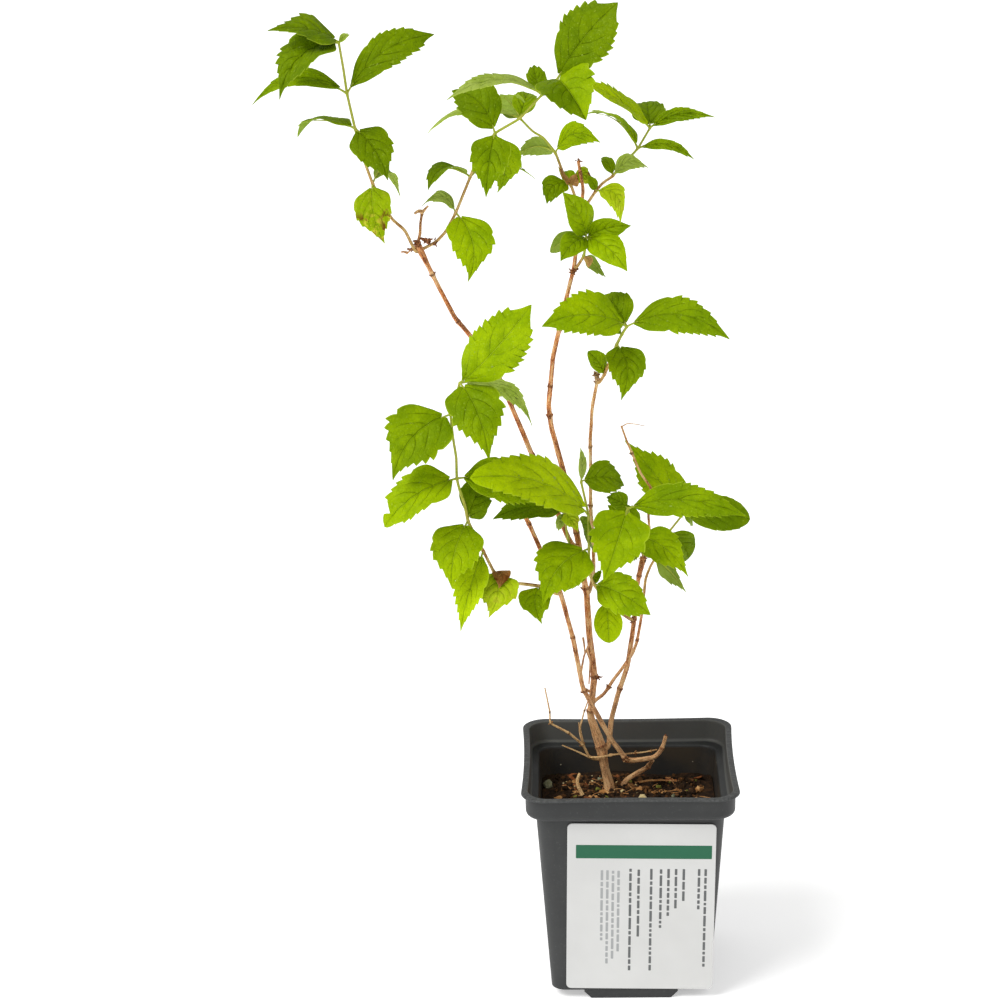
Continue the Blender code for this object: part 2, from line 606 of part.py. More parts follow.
def build_shoot(number, shoot, routes, materials):
    """One leafy shoot: a twig from its parent with stalked leaves in pairs at its nodes."""
    dice = random.Random(SEED + number)
    path, out = grown_path(shoot, routes)
    last = len(path) - 1
    radii = [radius_at(shoot, index / last) for index in range(len(path))]
    bm = bmesh.new()
    tube(bm, path, radii, TWIG_SIDES, out)
    twig = make_object(shoot.name, bm, materials["leaf"])
    parts = []
    for leaf in shoot.leaves:
        root = Vector(shoot.path[leaf.node])
        parts.extend(build_leaf(root, leaf, dice, materials["leaf"]))
    join_mass(twig, parts, shoot.name + "_parts")
    return twig


def build_dead_twigs(routes, materials):
    """The bare, broken twigs left of the stems: one forked solid."""
    path, out = grown_path(DEAD_TWIGS, routes)
    last = len(path) - 1
    radii = [radius_at(DEAD_TWIGS, index / last) for index in range(len(path))]
    bm = bmesh.new()
    tube(bm, path, radii, TWIG_SIDES, out)
    core = make_object(DEAD_TWIGS.name, bm, materials["dry"])
    parts = []
    for route in DEAD_SIDE_TWIGS:
        side = bmesh.new()
        first, last = SIDE_TWIG_RADII
        steps = len(route) - 1
        tube(side, route, [first + (last - first) * step / steps for step in range(len(route))], TWIG_SIDES)
        parts.append(make_object("side_twig", side, materials["dry"]))
    join_mass(core, parts, "dead_parts")
    return core


def main():
    """Build the pot and everything that grows in it."""
    clear_scene()
    materials = {
        "plastic": make_material("pot plastic", (0.045, 0.046, 0.048), 0.5),
        "soil": make_material("potting soil", (0.035, 0.02, 0.012), 0.95),
        "paper": make_material("label paper", (0.78, 0.78, 0.76), 0.5),
        "bark": make_material("young bark", (0.34, 0.17, 0.08), 0.75),
        "dry": make_material("dry twig", (0.42, 0.27, 0.15), 0.85),
        "leaf": make_material("leaf green", (0.25, 0.46, 0.01), 0.5),
    }
    build_pot(materials["plastic"])
    build_soil(materials["soil"])
    build_label(materials["paper"])
    routes = {}
    for limb in LIMBS:
        build_limb(limb, routes, materials)
    build_dead_twigs(routes, materials)
    for number, shoot in enumerate(SHOOTS):
        build_shoot(number, shoot, routes, materials)


main()
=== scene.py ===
"""Looks of the potted mock orange: a young shrub with bare stems and toothed leaves in a square nursery pot.

Every size is in millimetres and becomes metres when a mesh is made. X runs along the labelled front face,
+Y runs towards the back and +Z is up. The routes of stems and shoots and the places of the leaves are those
of the part's solids, and each new piece stands for the solid it follows.
"""
from __future__ import annotations

import json
import logging
import math
import random
from dataclasses import dataclass, field
from enum import Enum
from typing import Any

import bpy
import numpy as np
from mathutils import Matrix

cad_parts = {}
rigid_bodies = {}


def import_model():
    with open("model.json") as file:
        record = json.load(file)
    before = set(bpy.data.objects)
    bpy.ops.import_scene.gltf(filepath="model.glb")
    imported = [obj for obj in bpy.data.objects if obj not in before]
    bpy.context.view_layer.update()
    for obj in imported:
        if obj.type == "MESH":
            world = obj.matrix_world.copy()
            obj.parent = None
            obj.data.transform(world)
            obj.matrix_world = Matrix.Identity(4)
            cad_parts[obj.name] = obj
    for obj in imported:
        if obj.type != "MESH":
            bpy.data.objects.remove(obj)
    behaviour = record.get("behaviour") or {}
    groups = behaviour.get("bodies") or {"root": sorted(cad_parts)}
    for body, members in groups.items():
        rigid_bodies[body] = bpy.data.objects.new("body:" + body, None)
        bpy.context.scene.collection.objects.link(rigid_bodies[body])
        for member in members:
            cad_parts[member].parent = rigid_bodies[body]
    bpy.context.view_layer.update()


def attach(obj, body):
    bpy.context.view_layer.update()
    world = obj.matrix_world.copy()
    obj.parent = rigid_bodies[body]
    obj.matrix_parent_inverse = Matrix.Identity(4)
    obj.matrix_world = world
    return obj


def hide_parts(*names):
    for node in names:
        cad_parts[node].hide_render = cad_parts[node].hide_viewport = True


Array = np.ndarray
Material = bpy.types.Material
Piece = bpy.types.Object
Socket = bpy.types.NodeSocket
LOG = logging.getLogger("mock_orange")

MM = 0.001
GAP = 0.3
UV_LENGTH = 10.0
SEED = 9
BODY = "root"
WHITE = (1.0, 1.0, 1.0, 1.0)
UP = np.array((0.0, 0.0, 1.0))
FACING = np.array((0.0, -math.cos(math.radians(35.0)), math.sin(math.radians(35.0))))

# Sizes of the pot and the soil, as in the part's source.
POT_HEIGHT = 95.0
LIP_HALF = 45.0
LIP_THICK = 1.1
COLLAR_HALF = 43.2
COLLAR_DEPTH = 10.8
BODY_TOP_HALF = 38.9
BODY_FOOT_HALF = 33.3
WALL = 1.1
FLOOR_THICK = 1.4
FOOT_HEIGHT = 4.0
LEDGE = POT_HEIGHT - COLLAR_DEPTH
SOIL_TOP = 74.0
SOIL_DROP = 1.6
STEM_PLACE = np.array((-9.0, 15.0))

# Growth rule of leaves, side stems and roots, as in the part's source.
PETIOLE_SHARE = 0.11
LEAF_DROOP = 0.11
BASE_ROUND = 0.06
STUB_RADII = 0.8
ROOT_FLARE = 0.4
ROOT_FLARE_HEIGHT = 7.0


class Tone(Enum):
    """Colour group of a leaf, by the letter that the shoots' tables use."""

    BRIGHT = "B"
    MIDDLE = "M"
    DARK = "D"
    PALE = "P"
    YELLOW = "Y"
    SPOTTED = "S"
    LIGHT = "L"
    WITHERED = "X"


class Form(Enum):
    """Outline and carriage of a leaf, by the letter that the shoots' tables use."""

    PLAIN = "e"
    HEART = "o"
    BROAD = "w"
    NARROW = "n"
    BLUNT = "r"
    BITTEN = "b"
    CURLED = "c"
    FOLDED = "f"
    LONG = "l"
    SMOOTH = "s"


@dataclass(frozen=True)
class Cut:
    """Outline of a form: the blade rule's shift, fullness and draw, its tip, width, teeth, fold and curl.

    A dim form has its second half in the dark tone, as where a fold keeps the light off.
    """

    shift: float = 0.78
    full: float = 0.72
    draw: float = 0.15
    tip: float = 0.35
    tip_from: float = 0.72
    wide: float = 1.0
    teeth: float = 1.0
    fold: float = 0.0
    curl: float = 0.0
    bite: float = 0.0
    dim: bool = False


FORMS = {
    Form.PLAIN: Cut(),
    Form.HEART: Cut(shift=0.6, full=0.74, draw=0.3, tip=0.52, tip_from=0.5),
    Form.BROAD: Cut(shift=1.0, full=0.68, draw=0.0, tip=0.45, tip_from=0.78),
    Form.NARROW: Cut(shift=0.7, draw=0.2, tip=0.4, tip_from=0.6, wide=0.7, teeth=0.7),
    Form.BLUNT: Cut(shift=1.1, full=0.6, draw=0.0, tip=0.0, teeth=0.25),
    Form.BITTEN: Cut(shift=0.66, full=0.6, draw=0.0, tip=0.0, bite=0.75),
    Form.CURLED: Cut(curl=-0.16, tip=0.2),
    Form.FOLDED: Cut(shift=0.62, fold=0.3, tip=0.2, dim=True),
    Form.LONG: Cut(shift=0.82, full=0.52, draw=0.0, tip=0.0, teeth=0.9),
    Form.SMOOTH: Cut(full=0.8, tip=0.2, teeth=0.2),
}


class Bark(Enum):
    """Surface of a stem."""

    YOUNG = "bark"
    PALE = "pale"
    DRY = "dry"


@dataclass(frozen=True)
class Limb:
    """A bare stem: its route, end radii, what it grows from and the heights of its nodes.

    A clump of old bud scales is a place, reach, number and lean; a spur of dead wood is a path and a radius.
    """

    name: str
    path: tuple
    radii: tuple
    bark: Bark = Bark.YOUNG
    parent: str = ""
    joint: float = 0.0
    rooted: bool = False
    knot: tuple = ()
    nodes: tuple = ()
    clumps: tuple = ()
    spurs: tuple = ()


@dataclass(frozen=True)
class Leaf:
    """One leaf: the shoot's node it grows at, reach to its tip, aim, width, roll and sideways sweep."""

    node: int
    reach: float
    heading: float
    away: float
    width: float
    roll: float = 0.0
    sweep: float = 0.0


@dataclass(frozen=True)
class Shoot:
    """A leafy twig: route, radii, parent limb, and leaves with their tones and forms in the same order."""

    name: str
    path: tuple
    radii: tuple
    parent: str
    joint: float
    leaves: tuple = ()
    tones: str = ""
    forms: str = ""


LIMBS = (
    Limb("stem_middle",
        ((-8, 15, 74.3), (-8, 15, 76), (-10, 15, 84), (-11, 15, 92), (-16, 16, 108), (-14, 15, 126),
         (-16, 14, 144), (-17, 14, 163), (-20, 13, 185), (-26, 12, 217), (-31, 12, 237), (-32, 12, 246),
         (-30, 11, 267), (-24, 10, 293), (-21, 10, 305), (-19, 9, 322), (-17, 8, 337), (-19, 8, 349)),
        (1.75, 0.6), rooted=True, knot=(3, 0.7),
        nodes=(94, 110, 126, 166, 191, 242, 254.6, 279, 303, 322, 344),
        clumps=(((-11.6, 14.2, 94.5), 1.9, 10, (-0.6, -0.6, 0.3)),
         ((-13.4, 13.6, 126.4), 1.5, 16, (0.8, -0.9, 0.1)), ((-31.6, 11.2, 241.5), 1.7, 8, (0.3, -0.4, 0.0)),
         ((-31.4, 11.4, 255.0), 1.5, 5, (0.0, -0.4, 0.0)), ((-21, 9.6, 303.5), 1.9, 7, (0.3, -0.5, 0.3)),
         ((-19, 8, 349.2), 1.5, 7, (0.0, 0.0, 0.8))),
        spurs=((((-15.8, 14.2, 119.5), (-18.9, 13, 121.1), (-19.7, 12, 129.2), (-18.4, 12, 136.4),
           (-15.6, 12.3, 143.4)), 0.66),
         (((-17.2, 12, 139.1), (-15.7, 11.6, 134.3), (-16.4, 11.8, 123.8)), 0.55),
         (((-18.7, 12, 144.7), (-18.2, 12, 140.9), (-18.0, 12, 137.0)), 0.5))),
    Limb("stem_upper_left",
        ((-24.4, 10.8, 189), (-28, 9, 199), (-36, 7, 221), (-39, 6, 227), (-43, 5, 238), (-53, 2, 264),
         (-65, 0, 282), (-69, -1, 287), (-75, -3, 300), (-79, -4, 309), (-83, -5, 318)),
        (1.15, 0.85), parent="stem_middle", joint=8.0, knot=(12, 0.7), nodes=(227, 257, 285.7, 306),
        clumps=(((-82.6, -5.2, 319.0), 3.2, 15, (-0.6, -0.4, 0.2)),
         ((-79.6, -4.8, 319.8), 2.6, 10, (0.7, -0.3, 0.3)), ((-76.6, -3.8, 319.2), 1.8, 7, (0.9, -0.2, 0.0)),
         ((-85.6, -6.2, 316.8), 1.7, 6, (-0.6, -0.2, -0.4))),
        spurs=((((-83.0, -5.4, 318.4), (-85.6, -6.2, 317.2), (-87.6, -6.8, 315.2)), 0.55),
         (((-87.2, -6.8, 315.6), (-88.6, -7.2, 316.4), (-89.8, -7.6, 316.2)), 0.6))),
    Limb("stem_left",
        ((-1, 11, 90), (-7, 10, 99), (-12, 9, 109), (-19, 9, 123), (-23, 9, 146), (-28, 9, 166),
         (-36, 8, 185), (-41, 7, 198), (-45, 6, 205)),
        (1.05, 0.9), nodes=(91, 122, 146, 171, 197)),
    Limb("old_arm",
        ((-1.6, 11.0, 89.8), (1, 11.7, 88.7), (5, 13, 88.6), (11, 15, 88.6), (13.4, 15.5, 90.6),
         (15.2, 16.0, 94), (16, 16.2, 98)),
        (1.25, 0.8), nodes=(92.5,),
        clumps=(((-1.2, 10.6, 89.8), 1.5, 10, (0.3, -0.6, 0.2)),
         ((16, 16.2, 97.6), 1.0, 10, (0.0, -0.2, 0.0)))),
    Limb("old_foot",
        ((-2, 19, 74.3), (-1.6, 19, 76), (2.4, 18.3, 79.4), (8.5, 17.6, 83.2), (10.5, 15.5, 87.4)),
        (0.95, 0.8), rooted=True, nodes=(84.0,)),
    Limb("stem_right",
        ((-7, 20.5, 104), (-4, 20.5, 116), (0, 21, 128), (2, 22, 141), (3, 22, 149), (4, 23, 162),
         (5, 23, 168), (7, 24, 176)),
        (1.15, 0.9), parent="stem_middle", joint=3.0, knot=(9, 0.5), nodes=(118.1, 149.1, 168),
        clumps=(((2.2, 21.0, 149.2), 2.1, 10, (-0.7, -0.6, 0.1)),
         ((7.4, 23.2, 175.4), 1.7, 7, (0.2, -0.2, 0.5)))),
    Limb("stem_back",
        ((-14, 20, 171), (-14, 20, 182), (-15, 21, 198), (-15, 21, 216), (-15, 22, 228), (-14, 22, 243),
         (-12, 22, 253), (-12, 22, 257)),
        (0.85, 0.65), bark=Bark.PALE, parent="stem_middle", joint=7.0, knot=(9, 0.4), nodes=(200, 225.3, 253),
        clumps=(((-12.2, 21.0, 256.6), 2.3, 11, (0.0, -0.4, 0.3)),)),
    Limb("side_stem",
        ((-14.4, 22, 112), (-10, 24.4, 114), (-6, 26, 120), (-2, 27, 125), (2, 27, 131), (4, 27, 136),
         (5, 28, 141), (6, 28, 147), (7, 29, 155)),
        (0.8, 0.6), parent="stem_middle", joint=4.15, nodes=(117, 137.5)),
    Limb("dead_twig_right",
        ((10, 27, 184), (9, 26.5, 194), (11, 26, 205), (6, 26, 212), (2, 26, 222), (0, 26, 227),
         (-2, 26, 233)),
        (0.6, 0.4), bark=Bark.DRY, parent="stem_right", joint=8.4, nodes=(205, 221),
        spurs=((((-2, 26, 232.6), (0.5, 25.6, 234.2), (4, 25, 234.0), (8, 24.6, 233.2)), 0.26),)),
    Limb("dead_twig_top", ((-82, -5, 323), (-82, -5, 327), (-81, -5, 332)), (0.7, 0.5), bark=Bark.DRY,
        parent="stem_upper_left", joint=12.0, nodes=(331,),
        spurs=((((-80.9, -5.2, 331.8), (-82.4, -5.8, 332.6), (-84.2, -6.2, 331.4)), 0.95),
         (((-81, -5.2, 331.8), (-79.8, -5.4, 333.2), (-78.6, -5.6, 334.4)), 0.7))),
    Limb("old_root",
        ((-19.5, 8.6, 74.3), (-19.9, 8.9, 75.4), (-21.6, 11, 77.4), (-22, 12.6, 79.6), (-20.6, 14, 82.2)),
        (0.7, 0.5), bark=Bark.DRY, rooted=True),
)

DEAD_TWIGS = Shoot(
    "dead_twigs_left",
    ((-16.5, 13, 90), (-19, 12, 96), (-25, 11, 102), (-33, 10, 107), (-33, 10, 112), (-35, 10, 123)),
    (0.75, 0.3), "stem_middle", 2.6)
DEAD_SIDE_TWIGS = (
    ((-19, 12, 96), (-20.4, 11.5, 104), (-18.4, 11.4, 112), (-16.6, 11.6, 117)),
    ((-19, 12, 96), (-20.4, 12.4, 101), (-20.8, 12.8, 106)),
    ((-16.5, 13, 90), (-22, 12.6, 93), (-28, 12, 96)),
    ((-16.5, 13, 90), (-12, 11.4, 90.6), (-6, 12.4, 91.4), (0, 13.6, 91.2), (7, 15.2, 91.2),
     (12.4, 17, 91.6)),
)

SHOOTS = (
    Shoot("shoot_far_left",
        ((-88, -7, 325), (-93, -9, 330), (-100, -12, 345), (-103, -14, 355), (-106, -16, 368),
         (-108.6, -17.5, 382), (-109.6, -18.8, 392), (-111, -20, 402.5)),
        (0.68, 0.48), "stem_upper_left", 11.8,
        (Leaf(7, 29, -76, -20, 19, 35, 0.06), Leaf(7, 34, -130, -32, 20, 25, -0.07), Leaf(7, 6, 54, -21, 3),
         Leaf(5, 41, 58, 11, 13, 20, 0.04), Leaf(5, 37, -95, -5, 14, 20, -0.07),
         Leaf(4, 29, -94, 34, 13, 55, 0.05), Leaf(4, 24, 147, -15, 16, 0, 0.02),
         Leaf(2, 24, 169, -14, 15, 0, -0.1), Leaf(2, 17.6, 129, 43, 8, 120, 0.45)),
        "DDPDMMDSP", "ooewncooe"),
    Shoot("shoot_top",
        ((-76, -3, 319), (-72, -2, 323), (-68, 0, 330), (-62, 3, 344), (-60, 4, 349), (-52, 6, 361),
         (-47, 5, 364), (-42, 4, 367), (-32.9, -0.8, 377.5), (-27, -4, 384)),
        (0.68, 0.48), "stem_upper_left", 11.8,
        (Leaf(2, 28, 170, -19, 18, 0, 0.15), Leaf(2, 14, -80, 9, 11, 30, -0.25),
         Leaf(3, 22, -96, -42, 12, 45, -0.12), Leaf(3, 29, 99, 27, 12, 130, 0.2),
         Leaf(5, 26, -49, 28, 17, 0, -0.08), Leaf(5, 27, -171, -32, 16), Leaf(5, 27, 179, 17, 14, 0, 0.13),
         Leaf(8, 42.5, -86, -30, 10, 35, 0.03), Leaf(8, 13, -16, 31, 9, 20, 0.1),
         Leaf(9, 39, 38, -6, 22, 0, -0.05), Leaf(9, 27, 137, -53, 23, 0, -0.04)),
        "BPDPDMBPMDB", "oneoeooeewf"),
    Shoot("shoot_top_back",
        ((-22, 14, 338), (-25, 16, 342), (-28, 19, 350), (-33, 21, 356), (-37, 22, 358), (-42, 24, 363)),
        (0.65, 0.45), "stem_middle", 15.5,
        (Leaf(0, 13.4, -123, -31, 10, 0, -0.2), Leaf(0, 8, -26, 54, 6), Leaf(0, 10.6, 102, 25, 7, 30, 0.35),
         Leaf(2, 22, -105, 42, 8, 130, -0.03), Leaf(2, 21, 72, -26, 10, 20, 0.18),
         Leaf(5, 15, -45, 40, 11, 180), Leaf(5, 18, 27, 63, 10), Leaf(5, 40, -101, 15, 14, 50),
         Leaf(0, 10, -30, -20, 5, 50, 0.25), Leaf(0, 6.5, 24, -30, 5, 0, -0.2)),
        "MBSPBPMPXX", "eeeeeeewss"),
    Shoot("shoot_top_right",
        ((-12, 11, 336), (-9, 13, 339), (-5, 15, 341), (-2, 17, 345), (1, 19, 347), (5, 20, 351),
         (10, 22, 359)),
        (0.65, 0.45), "stem_middle", 15.5,
        (Leaf(0, 23, 133, -56, 9, 30, 0.2), Leaf(0, 7.5, -25, -10, 4), Leaf(2, 13, -36, 58, 5),
         Leaf(2, 20, 66, -42, 7, 50, 0.15), Leaf(5, 30, -62, 41, 11, 60), Leaf(5, 23, 102, 0, 5.5, 60, 0.12),
         Leaf(6, 21, -9, 71, 14), Leaf(6, 32, 73, -35, 6.5, 60, 0.04), Leaf(6, 36, -52, -19, 13, 40, 0.08)),
        "YMMPBMDML", "eeeeeeoee"),
    Shoot("shoot_upper_middle", ((-17, 4, 311), (-16, 1, 319)), (0.7, 0.5), "stem_middle", 14.0,
        (Leaf(1, 27, -23, -29, 12), Leaf(1, 20, 70, -20, 10, 40), Leaf(1, 25, 121, -42, 13),
         Leaf(1, 19, -118, -52, 11), Leaf(1, 16, -106, -18, 8, 130), Leaf(0, 13, 138, 9, 7, 150),
         Leaf(0, 5.5, 160, -30, 3.5, 0, 0.2)),
        "BMBMPYX", "ssssros"),
    Shoot("shoot_right", ((-9, 16, 258), (-4, 8, 273), (-2, 5, 278), (0, 2, 282)), (0.75, 0.55), "stem_back",
        8.0,
        (Leaf(3, 38, -82, -25, 19), Leaf(3, 19, -45, 44, 14), Leaf(3, 42, 95, -11, 14.5, 25, 0.08),
         Leaf(1, 24, 176, -35, 16, 0, 0.14), Leaf(2, 6, -72, 34, 3), Leaf(0, 13.5, -31, -17, 7.5)),
        "BMMMBM", "eeeoer"),
    Shoot("shoot_left",
        ((-36, 0, 172), (-44, -5, 175), (-48, -8, 176), (-53, -11, 179), (-55, -13, 183), (-59, -16, 193),
         (-65, -19, 207), (-66, -20, 214), (-68, -21, 221), (-69, -22, 226), (-69, -22, 235), (-70, -22, 242),
         (-71, -22, 253), (-67, -22, 266)),
        (0.78, 0.48), "stem_left", 5.0,
        (Leaf(13, 49, 39, -19, 21, 25, -0.1), Leaf(13, 37, 127, 16, 9, 55, 0.16),
         Leaf(13, 35, 156, -35, 22, 0, 0.03), Leaf(12, 35, -136, -17, 25, 0, -0.06),
         Leaf(9, 35, -121, -13, 19, 15, 0.03), Leaf(9, 40, 117, 27, 18), Leaf(6, 22, 41, 42, 15, 30, 0.1),
         Leaf(6, 28, -165, -23, 21, 0, -0.05), Leaf(5, 34, -163, -14, 14, 20, 0.04),
         Leaf(4, 20.5, -172, -43, 17, 0, 0.15), Leaf(0, 17, 178, -44, 14, 0, -0.16),
         Leaf(4, 10.5, 150, -66, 7.5, 0, 0.25)),
        "BPMMBBDBLYBX", "wooobeooooos"),
    Shoot("shoot_low_middle",
        ((-3, 14, 155), (-7, 11, 159), (-9, 10, 162), (-14, 7, 170), (-16, 5, 176), (-16, 3, 187),
         (-16, 2, 202), (-19, 4, 216)),
        (0.8, 0.5), "stem_right", 6.0,
        (Leaf(6, 62, -61, -29, 21, 10, 0.02), Leaf(6, 20, 175, 25, 12, 75),
         Leaf(7, 19.5, 103, 20, 14, 0, 0.02), Leaf(7, 14, 0, 8, 5, 50), Leaf(5, 31, -135, -29, 23, 0, -0.08),
         Leaf(4, 13, -126, -4, 6), Leaf(3, 28, 111, -28, 17, 25), Leaf(3, 7, 27, 8, 3),
         Leaf(2, 18, 176, -25, 12)),
        "LDDPBBBML", "leeeoeeer"),
    Shoot("shoot_low_right", ((6, 21, 180), (4, 14, 189), (0, 4, 204)), (0.8, 0.55), "stem_right", 9.0,
        (Leaf(2, 33, -158, -33, 24, 0, 0.05), Leaf(2, 50, 89, -16, 14, 30, 0.02), Leaf(2, 10, -60, 4, 8),
         Leaf(1, 28, 124, -26, 15, 20, 0.05), Leaf(1, 18, -174, 34, 9, 40), Leaf(1, 18, -42, 0, 12)),
        "BMDBDM", "oeeoee"),
    Shoot("shoot_far_right",
        ((8, 31, 164), (10, 32, 169), (12, 33, 172), (15, 35, 177), (18, 36, 183), (24, 38, 190)),
        (0.65, 0.45), "side_stem", 10.0,
        (Leaf(5, 40, -38, 9, 19, 12, 0.06), Leaf(5, 15, 152, 51, 8), Leaf(5, 28.5, 92, -8, 15, 10, -0.06),
         Leaf(4, 19, 150, 25, 13), Leaf(2, 22, 142, 13, 10, 150)),
        "BMDDP", "oerro"),
    Shoot("shoot_inner", ((-23, 6, 184), (-25, 4, 193), (-26, 3, 203)), (0.6, 0.45), "stem_middle", 7.6,
        (Leaf(2, 30, -91, -12, 12, 15, 0.03), Leaf(2, 10, 140, -30, 7), Leaf(2, 8, -160, -20, 4)),
        "DYP", "eoe"),
)


def srgb(red: float, green: float, blue: float) -> tuple:
    """Linear colour with an alpha of 1 from the display values 0..255 of red, green and blue."""
    linear = [((value / 255.0 + 0.055) / 1.055) ** 2.4 if value > 10.3 else value / 3294.6
              for value in (red, green, blue)]
    return (*linear, 1.0)


def joined(*parts: Any) -> Array:
    """Parts spread to one shape and set side by side on a new last axis."""
    return np.stack(np.broadcast_arrays(*parts), axis=-1)


def turns(count: int) -> Array:
    """Angles of a ring's points, from 0 up to a whole turn."""
    return np.arange(count) / count * 2.0 * math.pi


def rings_round(line: Array, side: Array, other: Array, radii: Array, sides: int) -> Array:
    """Rings round a line: centre + radius (side cos a + other sin a).

    Args:
        line: Centres of the rings.
        side: First direction of each cross section.
        other: Second direction.
        radii: Radii, with one row for each ring and one column for all sides or for each.
        sides: Points in a ring.

    Returns:
        Rings by sides by 3 numbers.
    """
    turn = turns(sides)[None, :, None]
    return line[:, None] + radii[..., None] * (np.cos(turn) * side[:, None] + np.sin(turn) * other[:, None])


def wall_half(height: Array) -> Array:
    """Half width of the pot's outer wall at heights: it grows evenly from the foot to the ledge."""
    return BODY_FOOT_HALF + (BODY_TOP_HALF - BODY_FOOT_HALF) * (height - FOOT_HEIGHT) / (LEDGE - FOOT_HEIGHT)


def bell_vector(dice: random.Random, size: float = 1.0) -> Array:
    """Random vector whose three numbers are bell-shaped draws of a size."""
    return np.array([dice.gauss(0.0, size) for _ in range(3)])


def unit(vectors: Array) -> Array:
    """Vectors scaled to length 1 along their last axis."""
    return vectors / np.maximum(np.linalg.norm(vectors, axis=-1, keepdims=True), 1e-12)


def smoothstep(low: float, high: float, values: Array) -> Array:
    """Blend from 0 at low to 1 at high by the cubic 3t^2 - 2t^3."""
    part = np.clip((values - low) / (high - low), 0.0, 1.0)
    return part * part * (3.0 - 2.0 * part)


class Grain:
    """Seeded lattice noise: random values at whole points of a repeating cube, blended between them."""

    SIZE = 24

    def __init__(self, seed: int) -> None:
        """Draw the lattice's values from the seed."""
        self.table = np.random.default_rng(seed).uniform(-1.0, 1.0, (self.SIZE,) * 3)

    def at(self, points: Array, scale: float) -> Array:
        """Noise at points: the eight nearest lattice values weighted by smooth steps along each axis.

        Args:
            points: Places, with 3 numbers on the last axis.
            scale: Distance between two lattice points.

        Returns:
            Values from -1 to 1, one for each point.
        """
        scaled = np.asarray(points, float) / scale
        base = np.floor(scaled)
        part = scaled - base
        part = part * part * (3.0 - 2.0 * part)
        low = base.astype(int) % self.SIZE
        high = (low + 1) % self.SIZE
        total = np.zeros(scaled.shape[:-1])
        for corner in range(8):
            pick = [(high if corner >> axis & 1 else low)[..., axis] for axis in range(3)]
            x, y, z = (part[..., axis] if corner >> axis & 1 else 1.0 - part[..., axis] for axis in range(3))
            total += self.table[pick[0], pick[1], pick[2]] * x * y * z
        return total


def grid_faces(rows: int, columns: int, closed: bool) -> Array:
    """Quads of a grid, row by row, facing along (column direction) x (row direction).

    Args:
        rows: Number of rows of points.
        columns: Number of points in a row.
        closed: Whether each row's last point joins its first.

    Returns:
        Four point numbers for each quad.
    """
    row = np.arange(rows - 1)[:, None]
    column = np.arange(columns if closed else columns - 1)[None, :]
    after = (column + 1) % columns
    below, above = row * columns, (row + 1) * columns
    return joined(below + column, below + after, above + after, above + column).reshape(-1, 4)


def capped_faces(rows: int, columns: int) -> list:
    """Faces of a closed solid of rings: its walls, and one flat face over each end."""
    count = rows * columns
    return grid_faces(rows, columns, True).tolist() + [list(range(columns - 1, -1, -1)),
                                                       list(range(count - columns, count))]


def plate_faces(rows: int, columns: int) -> tuple:
    """Faces of a thin closed plate, which is an upper grid of points and then a lower one.

    Args:
        rows: Number of rows of points in each grid.
        columns: Number of points in a row.

    Returns:
        Faces of the upper side, of the rim and of the lower side.
    """
    upper = grid_faces(rows, columns, False)
    number = np.arange(rows * columns).reshape(rows, columns)
    rim = np.concatenate((number[0, :-1], number[:-1, -1], number[-1, :0:-1], number[:0:-1, 0]))
    after = np.roll(rim, -1)
    total = rows * columns
    return upper, np.stack((rim + total, after + total, after, rim), axis=-1), upper[:, ::-1] + total


def four_turns(quarter: Array) -> list:
    """A quarter of an outline and its three copies, each turned on by a right angle."""
    return [quarter @ np.array(((c, s), (-s, c))) for c, s in ((1, 0), (0, 1), (-1, 0), (0, -1))]


def shown(name: str, data: Any) -> Piece:
    """New object in the scene, at the origin, for a mesh, a light or a camera."""
    made = bpy.data.objects.new(name, data)
    bpy.context.scene.collection.objects.link(made)
    return made


def solid(name: str, points: Array, faces: list) -> Piece:
    """New object in the scene from points in millimetres and their faces."""
    mesh = bpy.data.meshes.new(name)
    mesh.from_pydata((points * MM).tolist(), [], faces)
    return shown(name, mesh)


def aimed(place: tuple, right: Array, above: Array, back: Array) -> Matrix:
    """Matrix of an object at a place in millimetres, with its own three axes along the given ones."""
    frame = np.eye(4)
    frame[:3, :3] = np.stack((right, above, back), axis=1)
    frame[:3, 3] = np.array(place) * MM
    return Matrix(frame.tolist())


